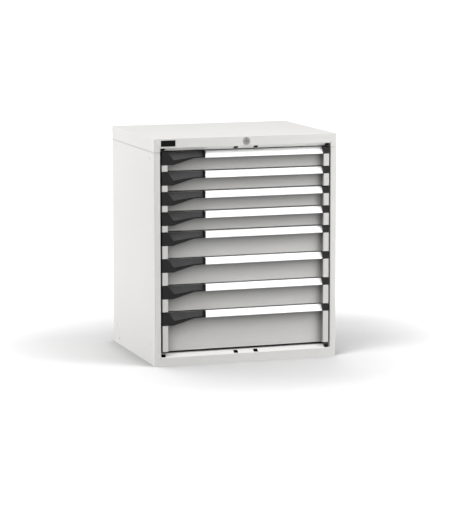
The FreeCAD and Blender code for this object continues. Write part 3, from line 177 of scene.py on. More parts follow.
class CabinetAge(bpy.types.PropertyGroup):
    """How much use the cabinet shows, and how deep the painted shade in the drawers' folds is."""

    wear: share("Edge wear", "Bare metal along the edges", 0.10)
    dust: share("Dust", "Dust on the upper faces", 0.10)
    mottle: share("Mottle", "Unevenness of the paint's tone", 0.25)
    # Painted shade: how much darker the drawers' folds are painted, standing in for the shade under the
    # handles and beside the flanges
    painted_shade: FloatProperty(name="Recess tone", description="How much darker the drawers' folds are",
                          default=1.0, min=0.0, max=3.0)


class CabinetStudio(bpy.types.PropertyGroup):
    """The camera, the lights and the floor."""

    distant: FloatProperty(name="Distant lights", description="Strength of the wide lights", default=0.975,
                           min=0.0)
    near: FloatProperty(name="Near lights", description="Strength of the lights close by", default=0.975,
                        min=0.0)
    sky: FloatProperty(name="Sky", description="Strength of the surrounding light", default=0.03, min=0.0)
    # The camera sees the near floor darker than the far floor: painted shade round the cabinet
    floor: colour("Floor", "Floor round the cabinet", (0.62, 0.62, 0.62))
    far_floor: colour("Far floor", "Floor further away", (0.95, 0.95, 0.95))
    floor_reach: length("Floor reach", "Half the width of the floor", 60.0)
    place: FloatVectorProperty(name="Camera place", description="Where the camera stands",
                               default=(-2.782, -8.438, 1.674), size=3, unit="LENGTH")
    turn: FloatProperty(name="Camera turn", description="Camera's turn towards the right",
                        default=math.radians(18.37), unit="ROTATION")
    tilt: FloatProperty(name="Camera tilt", description="Camera's downward tilt",
                        default=math.radians(8.41), unit="ROTATION")
    roll: FloatProperty(name="Camera roll", description="Camera's roll", default=math.radians(-0.064),
                        unit="ROTATION")
    lens: FloatProperty(name="Lens", description="Focal length in millimetres", default=163.5, min=1.0)


class CabinetSettings(bpy.types.PropertyGroup):
    """Everything a user may change."""

    colours: PointerProperty(type=CabinetColours)
    sizes: PointerProperty(type=CabinetSizes)
    age: PointerProperty(type=CabinetAge)
    studio: PointerProperty(type=CabinetStudio)
    bevel_steps: IntProperty(name="Edge steps", description="Segments of each rounded edge", default=2,
                             min=1, max=6)


def settings():
    """The cabinet's settings in this scene."""
    return bpy.context.scene.cabinet_settings


# Shader nodes

def node(tree, kind, inputs=None, **values):
    """A shader node with its properties, sockets and incoming links."""
    item = tree.nodes.new("ShaderNode" + kind)
    for name, value in values.items():
        setattr(item, name, value)
    for name, value in (inputs or {}).items():
        socket = item.inputs[name]
        if isinstance(value, bpy.types.NodeSocket):
            tree.links.new(value, socket)
        else:
            socket.default_value = value
    return item


def maths(tree, operation, *values, clamp=False):
    """A maths node's result."""
    return node(tree, "Math", dict(enumerate(values)), operation=operation, use_clamp=clamp).outputs[0]


def blend_colours(tree, factor, first, second, mode="MIX"):
    """Two colours mixed by a factor."""
    item = node(tree, "Mix", data_type="RGBA", blend_type=mode)
    for index, value in ((0, factor), (6, first), (7, second)):
        if isinstance(value, bpy.types.NodeSocket):
            tree.links.new(value, item.inputs[index])
        else:
            item.inputs[index].default_value = value
    return item.outputs[2]


def times(tree, tint, level):
    """A colour made darker by a level."""
    shade = node(tree, "CombineColor", {"Red": level, "Green": level, "Blue": level}).outputs[0]
    return blend_colours(tree, 1.0, tint, shade, "MULTIPLY")


def ramp(tree, value, low, high, bottom=0.0, top=1.0):
    """A value carried smoothly from one range to another."""
    item = node(tree, "MapRange", {"Value": value, "From Min": low, "From Max": high, "To Min": bottom,
                                   "To Max": top}, interpolation_type="SMOOTHSTEP")
    return item.outputs["Result"]


def noise(tree, place, scale, detail=2.0, roughness=0.5):
    """A noise pattern's value."""
    return node(tree, "TexNoise", {"Vector": place, "Scale": scale, "Detail": detail,
                                   "Roughness": roughness}).outputs["Fac"]


def object_place(tree):
    """A point's place on its own object."""
    return node(tree, "TexCoord").outputs["Object"]


SOCKETS = {"value": "NodeSocketFloat", "colour": "NodeSocketColor", "vector": "NodeSocketVector"}


def shader_group(name, inputs, outputs):
    """An empty node group with named sockets; returns it with its input and output nodes."""
    tree = bpy.data.node_groups.new(name, "ShaderNodeTree")
    for socket, kind, default in inputs:
        made = tree.interface.new_socket(name=socket, in_out="INPUT", socket_type=SOCKETS[kind])
        made.default_value = default
    for socket, kind in outputs:
        tree.interface.new_socket(name=socket, in_out="OUTPUT", socket_type=SOCKETS[kind])
    return tree, tree.nodes.new("NodeGroupInput"), tree.nodes.new("NodeGroupOutput")


def edge_wear_group():
    """Where the edges are rubbed, broken up by noise, and the normal that rounds them."""
    tree, given, result = shader_group(
        "Edge wear", (("Radius", "value", 0.0008), ("Amount", "value", 0.2), ("Breakup", "value", 60.0)),
        (("Mask", "value"), ("Normal", "vector")))
    soft = node(tree, "Bevel", {"Radius": given.outputs["Radius"]}, samples=6).outputs["Normal"]
    true = node(tree, "NewGeometry").outputs["Normal"]
    facing = node(tree, "VectorMath", {0: soft, 1: true}, operation="DOT_PRODUCT").outputs["Value"]
    edge = ramp(tree, maths(tree, "SUBTRACT", 1.0, facing), 0.02, 0.25)
    patches = ramp(tree, noise(tree, object_place(tree), given.outputs["Breakup"], 5.0, 0.65), 0.50, 0.72)
    rubbed = maths(tree, "MULTIPLY", edge, patches)
    mask = maths(tree, "MULTIPLY", rubbed, given.outputs["Amount"], clamp=True)
    tree.links.new(mask, result.inputs["Mask"])
    tree.links.new(soft, result.inputs["Normal"])
    return tree


def dust_group():
    """Where dust lies: faces that look up, in soft patches."""
    tree, given, result = shader_group(
        "Dust", (("Amount", "value", 0.2), ("Scale", "value", 9.0)), (("Mask", "value"),))
    normal = node(tree, "TexCoord").outputs["Normal"]
    up = node(tree, "SeparateXYZ", {0: normal}).outputs["Z"]
    facing = ramp(tree, up, 0.55, 0.98)
    place = object_place(tree)
    wide = ramp(tree, noise(tree, place, given.outputs["Scale"], 4.0, 0.6), 0.30, 0.75, 0.35, 1.0)
    fine = ramp(tree, noise(tree, place, 900.0, 1.0), 0.35, 0.70, 0.5, 1.0)
    mask = maths(tree, "MULTIPLY", maths(tree, "MULTIPLY", facing, maths(tree, "MULTIPLY", wide, fine)),
                 given.outputs["Amount"], clamp=True)
    tree.links.new(mask, result.inputs["Mask"])
    return tree


def painted_shade_group():
    """How open a point is to the light from above, for painted shade: low under the handles and beside the
    flanges, in gaps and on the floor round the cabinet.
    """
    tree, given, result = shader_group(
        "Painted shade", (("Reach", "value", 0.1), ("Depth", "value", 0.8)), (("Openness", "value"),))
    facing = node(tree, "NewGeometry").outputs["Normal"]
    leaning = node(tree, "VectorMath", {0: facing, 1: (0.0, 0.0, UPWARD_LEAN)}, operation="ADD").outputs[0]
    aim = node(tree, "VectorMath", {0: leaning}, operation="NORMALIZE").outputs[0]
    seen = node(tree, "AmbientOcclusion", {"Distance": given.outputs["Reach"], "Normal": aim},
                samples=8).outputs["AO"]
    own_sheet = (1.0 + 1.0 / math.hypot(1.0, UPWARD_LEAN)) / 2
    share_seen = maths(tree, "DIVIDE", seen, own_sheet, clamp=True)
    tree.links.new(maths(tree, "POWER", share_seen, given.outputs["Depth"]), result.inputs["Openness"])
    return tree


def powder_coat_group():
    """Powder coat: a faint unevenness of tone, satin patches and fine ripples."""
    tree, given, result = shader_group(
        "Powder coat",
        (("Color", "colour", (0.75, 0.75, 0.74, 1)), ("Mottle", "value", 0.25), ("Ripple", "value", 600.0),
         ("Roughness", "value", 0.42)),
        (("Color", "colour"), ("Roughness", "value"), ("Height", "value")))
    place = object_place(tree)
    broad = noise(tree, place, 3.1, 3.0, 0.55)
    cloudy = noise(tree, place, 42.0, 4.0, 0.6)
    tone = maths(tree, "ADD", maths(tree, "MULTIPLY", broad, 0.6), maths(tree, "MULTIPLY", cloudy, 0.4))
    depth = maths(tree, "MULTIPLY", given.outputs["Mottle"], 0.16)
    level = maths(tree, "ADD", maths(tree, "SUBTRACT", 1.0, maths(tree, "MULTIPLY", depth, 0.5)),
                  maths(tree, "MULTIPLY", maths(tree, "SUBTRACT", tone, 0.5), depth))
    tree.links.new(times(tree, given.outputs["Color"], level), result.inputs["Color"])
    satin = maths(tree, "MULTIPLY", maths(tree, "SUBTRACT", cloudy, 0.5), 0.12)
    tree.links.new(maths(tree, "ADD", given.outputs["Roughness"], satin, clamp=True),
                   result.inputs["Roughness"])
    ripple = noise(tree, place, given.outputs["Ripple"], 1.5, 0.45)
    speck = noise(tree, place, maths(tree, "MULTIPLY", given.outputs["Ripple"], 2.7), 0.0)
    tree.links.new(maths(tree, "ADD", ripple, maths(tree, "MULTIPLY", speck, 0.25)), result.inputs["Height"])
    return tree


def moulded_group():
    """Moulded plastic: pebbled grain, rubbed a little smoother in places."""
    tree, given, result = shader_group(
        "Moulded grain",
        (("Color", "colour", (0.03, 0.03, 0.03, 1)), ("Grain", "value", 2000.0), ("Roughness", "value", 0.5)),
        (("Color", "colour"), ("Roughness", "value"), ("Height", "value")))
    place = object_place(tree)
    cells = node(tree, "TexVoronoi", {"Vector": place, "Scale": given.outputs["Grain"]},
                 feature="SMOOTH_F1").outputs["Distance"]
    handled = noise(tree, place, 26.0, 3.0, 0.6)
    level = ramp(tree, handled, 0.3, 0.7, 0.90, 1.10)
    tree.links.new(times(tree, given.outputs["Color"], level), result.inputs["Color"])
    tree.links.new(maths(tree, "ADD", given.outputs["Roughness"], ramp(tree, handled, 0.3, 0.7, -0.05, 0.05)),
                   result.inputs["Roughness"])
    tree.links.new(cells, result.inputs["Height"])
    return tree


def zinc_group():
    """Hot-dipped zinc: flat crystals of different greys, with a soft grain in each."""
    tree, given, result = shader_group(
        "Zinc spangle",
        (("Color", "colour", (0.56, 0.57, 0.58, 1)), ("Scale", "value", 110.0), ("Contrast", "value", 0.18)),
        (("Color", "colour"), ("Roughness", "value"), ("Height", "value")))
    place = object_place(tree)
    bend = node(tree, "TexNoise", {"Vector": place, "Scale": 60.0, "Detail": 2.0}).outputs["Color"]
    moved = node(tree, "VectorMath", {0: bend, 1: (0.006, 0.006, 0.006)}, operation="MULTIPLY").outputs[0]
    at = node(tree, "VectorMath", {0: place, 1: moved}, operation="ADD").outputs[0]
    crystal = node(tree, "TexVoronoi", {"Vector": at, "Scale": given.outputs["Scale"]}).outputs["Color"]
    pick = node(tree, "SeparateXYZ", {0: crystal}).outputs["X"]
    grain = noise(tree, place, 700.0, 2.0)
    spread = maths(tree, "MULTIPLY", maths(tree, "SUBTRACT", pick, 0.5), given.outputs["Contrast"])
    level = maths(tree, "ADD", maths(tree, "ADD", 1.0, spread),
                  maths(tree, "MULTIPLY", maths(tree, "SUBTRACT", grain, 0.5), 0.10))
    tree.links.new(times(tree, given.outputs["Color"], level), result.inputs["Color"])
    tree.links.new(maths(tree, "ADD", ramp(tree, pick, 0.0, 1.0, 0.30, 0.48),
                         maths(tree, "MULTIPLY", grain, 0.06)), result.inputs["Roughness"])
    tree.links.new(maths(tree, "ADD", maths(tree, "MULTIPLY", pick, 0.4), grain), result.inputs["Height"])
    return tree


def drawn_metal_group():
    """Drawn or turned metal: fine streaks along one direction."""
    tree, given, result = shader_group(
        "Drawn metal",
        (("Color", "colour", (0.8, 0.8, 0.8, 1)), ("Stretch", "vector", (8.0, 900.0, 900.0)),
         ("Roughness", "value", 0.3)),
        (("Color", "colour"), ("Roughness", "value"), ("Height", "value")))
    place = node(tree, "VectorMath", {0: object_place(tree), 1: given.outputs["Stretch"]},
                 operation="MULTIPLY").outputs[0]
    streak = noise(tree, place, 1.0, 3.0, 0.6)
    smudge = noise(tree, object_place(tree), 30.0, 2.0)
    level = ramp(tree, streak, 0.25, 0.75, 0.92, 1.05)
    tree.links.new(times(tree, given.outputs["Color"], level), result.inputs["Color"])
    rough = maths(tree, "ADD", given.outputs["Roughness"], ramp(tree, streak, 0.25, 0.75, -0.06, 0.08))
    tree.links.new(maths(tree, "ADD", rough, ramp(tree, smudge, 0.3, 0.7, -0.02, 0.05)),
                   result.inputs["Roughness"])
    tree.links.new(streak, result.inputs["Height"])
    return tree


GROUPS = {
    "Edge wear": edge_wear_group,
    "Dust": dust_group,
    "Painted shade": painted_shade_group,
    "Powder coat": powder_coat_group,
    "Moulded grain": moulded_group,
    "Zinc spangle": zinc_group,
    "Drawn metal": drawn_metal_group,
}


def group(tree, kind, inputs):
    """A shared effect placed in a material with its own values."""
    shared = bpy.data.node_groups.get(kind) or GROUPS[kind]()
    item = tree.nodes.new("ShaderNodeGroup")
    item.node_tree = shared
    for name, value in inputs.items():
        if isinstance(value, bpy.types.NodeSocket):
            tree.links.new(value, item.inputs[name])
        else:
            item.inputs[name].default_value = value
    return item


def new_material(name, **sockets):
    """A material with a Principled shader, its uniform values set on the shader's own sockets."""
    material = bpy.data.materials.new(name)
    material.use_nodes = True
    tree = material.node_tree
    shader = tree.nodes["Principled BSDF"]
    for socket, value in sockets.items():
        shader.inputs[socket.replace("_", " ")].default_value = value
    return material, tree, shader


def bump(tree, shader, height, depth, normal=None):
    """Feeds a height through a Bump node to the shader's normal."""
    item = node(tree, "Bump", {"Height": height, "Distance": depth})
    if normal:
        tree.links.new(normal, item.inputs["Normal"])
    tree.links.new(item.outputs["Normal"], shader.inputs["Normal"])


def opaque(rgb):
    """A colour with full alpha."""
    return (rgb[0], rgb[1], rgb[2], 1.0)


def painted(name, rgb, shaded_folds=False, roughness=0.42):
    """Light grey powder coat on steel, with rubbed edges, a little dust, and painted shade in its folds or
    its gaps.
    """
    choice = settings()
    material, tree, shader = new_material(name, IOR=1.5, Specular_IOR_Level=0.5)
    coat = group(tree, "Powder coat", {"Color": opaque(rgb), "Mottle": choice.age.mottle,
                                       "Ripple": 1.0 / choice.sizes.coat_grain, "Roughness": roughness})
    wear = group(tree, "Edge wear", {"Radius": PAINT_WEAR, "Amount": choice.age.wear, "Breakup": 70.0})
    dust = group(tree, "Dust", {"Amount": choice.age.dust, "Scale": 7.0})
    worn = blend_colours(tree, wear.outputs["Mask"], coat.outputs["Color"], BARE_STEEL)
    finish = blend_colours(tree, dust.outputs["Mask"], worn, PAINT_DUST)
    # Painted shade: the drawers' folds are darkened where little light from above would reach them, under the
    # handles and beside the flanges
    if shaded_folds:
        painted_shade = group(tree, "Painted shade", {"Reach": choice.sizes.painted_shade_reach, "Depth": choice.age.painted_shade})
        open_share = maths(tree, "MAXIMUM", painted_shade.outputs["Openness"], DARKEST_FOLD_SHADE)
        finish = times(tree, finish, open_share)
    else:
        # Painted shade: the housing's narrow gaps and seams are darkened where they are closed in
        gap_shade_openness = group(tree, "Painted shade", {"Reach": choice.sizes.gap_shade_reach, "Depth": 1.0})
        painted_gap_shade = ramp(tree, gap_shade_openness.outputs["Openness"], *CREVICE_OPENNESS, DARKEST_GAP_SHADE, 1.0)
        finish = times(tree, finish, painted_gap_shade)
    tree.links.new(finish, shader.inputs["Base Color"])
    rough = maths(tree, "ADD", coat.outputs["Roughness"],
                  maths(tree, "MULTIPLY", dust.outputs["Mask"], 0.5), clamp=True)
    tree.links.new(rough, shader.inputs["Roughness"])
    tree.links.new(maths(tree, "MULTIPLY", wear.outputs["Mask"], 0.8), shader.inputs["Metallic"])
    bump(tree, shader, coat.outputs["Height"], COAT_DEPTH, wear.outputs["Normal"])
    return material


def moulded(name, rgb, roughness, shine=0.5, depth=GRAIN_DEPTH):
    """Grained plastic."""
    choice = settings()
    material, tree, shader = new_material(name, IOR=1.49, Specular_IOR_Level=shine)
    body = group(tree, "Moulded grain", {"Color": opaque(rgb), "Grain": 1.0 / choice.sizes.plastic_grain,
                                         "Roughness": roughness})
    wear = group(tree, "Edge wear", {"Radius": PLASTIC_WEAR, "Amount": choice.age.wear, "Breakup": 90.0})
    dust = group(tree, "Dust", {"Amount": choice.age.dust, "Scale": 20.0})
    pale = opaque(tuple(min(1.0, part * 1.8 + 0.02) for part in rgb))
    rubbed = blend_colours(tree, wear.outputs["Mask"], body.outputs["Color"], pale)
    tree.links.new(blend_colours(tree, maths(tree, "MULTIPLY", dust.outputs["Mask"], 0.4), rubbed,
                                 PLASTIC_DUST), shader.inputs["Base Color"])
    tree.links.new(body.outputs["Roughness"], shader.inputs["Roughness"])
    bump(tree, shader, body.outputs["Height"], depth)
    return material


def galvanised(name, rgb):
    """Galvanised steel."""
    choice = settings()
    material, tree, shader = new_material(name, Metallic=0.9)
    zinc = group(tree, "Zinc spangle", {"Color": opaque(rgb), "Scale": 1.0 / choice.sizes.spangle,
                                        "Contrast": 0.22})
    dust = group(tree, "Dust", {"Amount": choice.age.dust, "Scale": 14.0})
    tree.links.new(blend_colours(tree, dust.outputs["Mask"], zinc.outputs["Color"], METAL_DUST),
                   shader.inputs["Base Color"])
    tree.links.new(zinc.outputs["Roughness"], shader.inputs["Roughness"])
    bump(tree, shader, zinc.outputs["Height"], ZINC_DEPTH)
    return material


def bright_metal(name, rgb, stretch, roughness, metallic=1.0):
    """Drawn, turned or anodised metal."""
    choice = settings()
    material, tree, shader = new_material(name, Metallic=metallic)
    metal = group(tree, "Drawn metal", {"Color": opaque(rgb), "Stretch": stretch, "Roughness": roughness})
    dust = group(tree, "Dust", {"Amount": choice.age.dust, "Scale": 30.0})
    tree.links.new(blend_colours(tree, dust.outputs["Mask"], metal.outputs["Color"], METAL_DUST),
                   shader.inputs["Base Color"])
    tree.links.new(metal.outputs["Roughness"], shader.inputs["Roughness"])
    bump(tree, shader, metal.outputs["Height"], DRAWN_DEPTH)
    return material


def paper(name, rgb):
    """Label card: a faint fibre in tone and surface."""
    material, tree, shader = new_material(name, Specular_IOR_Level=0.3)
    fibre = noise(tree, object_place(tree), 900.0, 3.0, 0.7)
    level = ramp(tree, fibre, 0.3, 0.7, 0.985, 1.0)
    tree.links.new(times(tree, opaque(rgb), level), shader.inputs["Base Color"])
    tree.links.new(ramp(tree, fibre, 0.2, 0.8, 0.62, 0.72), shader.inputs["Roughness"])
    bump(tree, shader, fibre, CARD_DEPTH)
    return material


def clear_cover(name, rgb):
    """A thin clear cover: nearly all of what lies behind it shows, under a soft gloss."""
    material, tree, shader = new_material(name, Base_Color=opaque(rgb), IOR=1.49, Alpha=0.04)
    haze = noise(tree, object_place(tree), 45.0, 3.0, 0.6)
    tree.links.new(ramp(tree, haze, 0.3, 0.7, 0.30, 0.36), shader.inputs["Roughness"])
    return material


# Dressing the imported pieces

def finish_edges(item, width):
    """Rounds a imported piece's edges with modifiers; its own vertices stay as they are."""
    mesh = item.data
    if "custom_normal" in mesh.attributes:
        mesh.attributes.remove(mesh.attributes["custom_normal"])
    mesh.shade_smooth()
    weld = item.modifiers.new("Weld", "WELD")
    weld.merge_threshold = HAIR
    edge = item.modifiers.new("Rounded edges", "BEVEL")
    edge.width = width
    edge.segments = settings().bevel_steps
    edge.limit_method = "ANGLE"
    edge.angle_limit = ROUNDED_ANGLE
    edge.use_clamp_overlap = True
    edge.harden_normals = True


def dress(names, material, width):
    """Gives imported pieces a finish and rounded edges."""
    for name in names:
        item = frame["nodes"][name]
        item.data.materials.clear()
        item.data.materials.append(material)
        if width:
            finish_edges(item, width)


def named(*endings):
    """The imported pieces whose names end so."""
    return [name for name in frame["nodes"] if name.endswith(endings)]


def drawer_pieces(word):
    """One kind of piece in every drawer."""
    return [f"drawer_{number}_{word}" for number in DRAWERS]


def mesh_piece(name, vertices, faces, material, body):
    """A new mesh piece that rides on a body."""
    mesh = bpy.data.meshes.new(name)
    mesh.from_pydata([tuple(point) for point in vertices], [], faces)
    mesh.validate()
    mesh.materials.append(material)
    item = bpy.data.objects.new(name, mesh)
    bpy.context.scene.collection.objects.link(item)
    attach(item, body)
    return item


def rounded_strip(length_along, width_across, radius, steps=5):
    """The outline of a strip with rounded corners, centred on the origin."""
    half_length, half_width = length_along / 2 - radius, width_across / 2 - radius
    points = []
    for corner, (sx, sy) in enumerate(((1, 1), (-1, 1), (-1, -1), (1, -1))):
        for step in range(steps + 1):
            angle = math.radians(90 * corner + 90 * step / steps)
            points.append((sx * half_length + radius * math.cos(angle),
                           sy * half_width + radius * math.sin(angle)))
    return points


def handle_plane(number):
    """A handle's sloping face: its middle, the direction up the slope, its normal, length and width."""
    low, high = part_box(f"drawer_{number}_handle")
    top_edge = Vector((0.0, low.y + HANDLE_TOP_DEPTH, high.z - HANDLE_TOP_DROP))
    bottom_edge = Vector((0.0, low.y, high.z - HANDLE_BOTTOM_DROP))
    slope = top_edge - bottom_edge
    upward = slope.normalized()
    normal = Vector((0.0, -upward.z, upward.y))
    middle = (top_edge + bottom_edge) / 2
    middle.x = (low.x + high.x) / 2
    return middle, upward, normal, high.x - low.x, slope.length


def label_piece(name, number, inset, rim, lift, thickness, material):
    """A thin strip in a handle's groove, lifted off the groove's floor."""
    middle, upward, normal, along, across = handle_plane(number)
    outline = rounded_strip(along - 2 * inset, across - 2 * rim, LABEL_CORNER)
    floor = middle - normal * (settings().sizes.groove - lift)
    vertices = []
    for level in (0.0, thickness):
        for x, up in outline:
            vertices.append(floor + Vector((x, 0.0, 0.0)) + upward * up + normal * level)
    count = len(outline)
    faces = [tuple(range(count, 2 * count)), tuple(reversed(range(count)))]
    faces += [(index, (index + 1) % count, count + (index + 1) % count, count + index)
              for index in range(count)]
    return mesh_piece(name, vertices, faces, material, f"drawer_{number}")


def paint_hollow_shade(top_cover, base_tray):
    """Paints shade on what lies behind the slots of the upper lip and on the walls of the side holes: a
    near-black finish where only shade falls.
    """
    material, tree, shader = new_material("Painted hollow shade", Roughness=0.8, Specular_IOR_Level=0.1)
    patches = noise(tree, object_place(tree), 60.0, 3.0, 0.6)
    tree.links.new(times(tree, HOLLOW_SHADE, ramp(tree, patches, 0.3, 0.7, 0.5, 1.0)), shader.inputs["Base Color"])
    for item in (top_cover, base_tray):
        item.data.materials.append(material)
    low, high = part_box("top_cover")
    hollow_top = high.z - TOP_RAIL + SHEET - NEAR
    for face in top_cover.data.polygons:
        behind = face.center.y - low.y
        in_lip = SHEET - NEAR < behind < LIP_DEPTH + NEAR and face.center.z < hollow_top
        if in_lip and abs(face.center.x) < HOLLOW_HALF_WIDTH and face.normal.z > LIP_OUTSIDE:
            face.material_index = 1
    for face in base_tray.data.polygons:
        from_axis = math.hypot(face.center.y - HOLE_PLACE[0], face.center.z - HOLE_PLACE[1])
        if from_axis < HOLE_RADIUS + NEAR:
            face.material_index = 1


class CABINET_OT_housing(bpy.types.Operator):
    """Paint the housing with painted shade in its gaps and hollows, and finish its plugs, screws, nut, cam
    and badge plate
    """

    bl_idname = "cabinet.housing"
    bl_label = "Housing"

    def execute(self, context):
        choice = settings()
        coat = painted("Housing paint with painted gap shade", choice.colours.housing)
        dress(("base_tray", "top_cover", "left_side_panel", "right_side_panel", "back_panel"), coat, 0.0)
        paint_hollow_shade(frame["nodes"]["top_cover"], frame["nodes"]["base_tray"])
        plug = moulded("Plug plastic", choice.colours.plug, roughness=0.5)
        dress(("side_panel_plugs",), plug, choice.sizes.small_edge)
        badge = moulded("Badge plastic", choice.colours.badge, roughness=0.35, shine=0.12, depth=SMOOTH_DEPTH)
        dress(("badge_plate",), badge, choice.sizes.small_edge)
        steel = bright_metal("Bright steel", choice.colours.fastener, (300.0, 300.0, 300.0), roughness=0.32)
        dress(("back_panel_screws", "lock_nut", "lock_cam"), steel, choice.sizes.small_edge)
        return {"FINISHED"}


class CABINET_OT_rails(bpy.types.Operator):
    """Finish the uprights, the fixed rails and the moving bars with their rollers"""

    bl_idname = "cabinet.rails"
    bl_label = "Uprights and rails"

    def execute(self, context):
        choice = settings()
        zinc = galvanised("Zinc", choice.colours.zinc)
        dress(named("_post", "left_rails", "right_rails"), zinc, 0.0)
        steel = bright_metal("Roller steel", choice.colours.roller, (900.0, 60.0, 60.0), roughness=0.26)
        for name in drawer_pieces("runners"):
            dress((name,), zinc, 0.0)
            item = frame["nodes"][name]
            item.data.materials.append(steel)
            for face in item.data.polygons:
                across = [abs(item.data.vertices[index].co.x) for index in face.vertices]
                if min(across) < BAR_INNER - HAIR or max(across) > BAR_OUTER + HAIR:
                    face.material_index = 1
        return {"FINISHED"}


class CABINET_OT_lock(bpy.types.Operator):
    """Finish the lock, its bar and the bar's guides"""

    bl_idname = "cabinet.lock"
    bl_label = "Lock"

    def execute(self, context):
        choice = settings()
        nickel = bright_metal("Lock nickel", choice.colours.lock, (260.0, 260.0, 260.0), roughness=0.30)
        dress(("lock_housing", "lock_plug"), nickel, choice.sizes.small_edge)
        dress(("lock_bar", "lock_bar_guides"), galvanised("Zinc on the lock bar", choice.colours.zinc),
              choice.sizes.small_edge)
        return {"FINISHED"}


class CABINET_OT_drawers(bpy.types.Operator):
    """Paint the drawers with a shaded copy of the housing's coat and painted shade in their folds, and finish
    their grips, end caps and thumb levers
    """

    bl_idname = "cabinet.drawers"
    bl_label = "Drawers"

    def execute(self, context):
        choice = settings()
        dress(drawer_pieces("tray"), painted("Drawer paint with painted shade", choice.colours.shaded_fronts, shaded_folds=True), 0.0)
        grip = moulded("Grip plastic", choice.colours.grip, roughness=0.50, shine=0.30)
        dress(drawer_pieces("end_caps"), grip, choice.sizes.plastic_edge)
        lever = moulded("Lever plastic", choice.colours.lever, roughness=0.46, shine=0.30)
        dress(drawer_pieces("latch"), lever, choice.sizes.plastic_edge)
        return {"FINISHED"}


class CABINET_OT_handles(bpy.types.Operator):
    """Finish the handles and put a label and its clear cover in each one's groove"""

    bl_idname = "cabinet.handles"
    bl_label = "Handles and labels"

    def execute(self, context):
        choice = settings()
        sizes = choice.sizes
        metal = bright_metal("Anodised handle", choice.colours.handle, (6.0, 700.0, 700.0), roughness=0.40,
                             metallic=0.35)
        dress(drawer_pieces("handle"), metal, sizes.small_edge)
        card = paper("Label card", choice.colours.label)
        clear = clear_cover("Label cover", choice.colours.window)
        for number in DRAWERS:
            label = label_piece(f"drawer_{number}_label", number, sizes.label_end, sizes.label_rim,
                                LABEL_LIFT, sizes.paper, card)
            cover = label_piece(f"drawer_{number}_label_cover", number, sizes.window_end, sizes.label_rim,
                                2 * LABEL_LIFT + sizes.paper, sizes.window, clear)
        return {"FINISHED"}


def area_light(name, place, aim, size, power):
    """A soft rectangular light that looks at a point."""
    light = bpy.data.lights.new(name, "AREA")
    light.shape = "RECTANGLE"
    light.size, light.size_y = size
    light.energy = power
    item = bpy.data.objects.new(name, light)
    item.location = place
    item.rotation_mode = "QUATERNION"
    item.rotation_quaternion = (Vector(aim) - Vector(place)).to_track_quat("-Z", "Y")
    bpy.context.scene.collection.objects.link(item)


# Distant lights: name, turn to the right of the front, height above the floor, width, strength
DISTANT_LIGHTS = (
    ("Left_light", -60, 60, 25, 1.33),
    ("Low_left_light", -66, 40, 25, 0.61),
    ("Right_light", 60, 60, 25, 0.85),
    ("Low_right_light", 52, 35, 12, 0.36),
    ("High_right_light", 40, 70, 20, 0.32),
    ("High_light", 0, 60, 25, 0.24),
    ("Rear_light", 180, 50, 40, 1.37),
)
# Near lights: name, place, aim, width and height, power
NEAR_LIGHTS = (
    ("Side_lamp", (-2.5, 2.0, 1.2), (-0.4, 0.2, 0.4), (1.5, 1.5), 56.0),
    ("Front_lamp", (1.6, -1.4, 0.7), (0.2, -0.3, 0.4), (1.2, 1.2), 13.0),
    ("Corner_lamp", (1.2, -1.6, 2.0), (0.2, -0.3, 0.4), (1.2, 1.2), 4.0),
    ("Top_lamp", (0.0, -0.9, 2.2), (0.0, -0.2, 0.4), (1.2, 0.8), 9.0),
)
# From the middle of the cabinet: where the floor's painted shade starts to fade to the far tone and where it
# ends
FLOOR_SHADE_FADE = (0.7, 1.5)
# Painted shade on the floor round the cabinet, seen only by the camera: reach and depth
FLOOR_PAINTED_SHADES = ((0.9, 0.50), (0.10, 0.45))
# The floor's tone for the light that it throws back
FLOOR_BOUNCE = (0.65, 0.65, 0.65)


def distant_light(name, turn, height, width, strength):
    """A soft light from far away, by its direction."""
    light = bpy.data.lights.new(name, "SUN")
    light.energy = strength
    light.angle = math.radians(width)
    item = bpy.data.objects.new(name, light)
    turn, height = math.radians(turn), math.radians(height)
    level = math.cos(height)
    towards = Vector((math.sin(turn) * level, -math.cos(turn) * level, math.sin(height)))
    item.rotation_mode = "QUATERNION"
    item.rotation_quaternion = (-towards).to_track_quat("-Z", "Y")
    bpy.context.scene.collection.objects.link(item)


def studio_floor(shaded_near_colour, far_colour):
    """The floor's finish: camera rays see painted shade, darker round the cabinet and lighter away, while the
    light it throws back is even.
    """
    material, tree, shader = new_material("Studio floor", Roughness=0.9, Specular_IOR_Level=0.1)
    away = node(tree, "VectorMath", {0: object_place(tree)}, operation="LENGTH").outputs["Value"]
    tone = blend_colours(tree, ramp(tree, away, *FLOOR_SHADE_FADE), opaque(shaded_near_colour), opaque(far_colour))
    shaded = tone
    for reach, depth in FLOOR_PAINTED_SHADES:
        painted_shade = group(tree, "Painted shade", {"Reach": reach, "Depth": depth})
        shaded = times(tree, shaded, painted_shade.outputs["Openness"])
    seen = node(tree, "LightPath").outputs["Is Camera Ray"]
    tree.links.new(blend_colours(tree, seen, opaque(FLOOR_BOUNCE), shaded), shader.inputs["Base Color"])
    return material


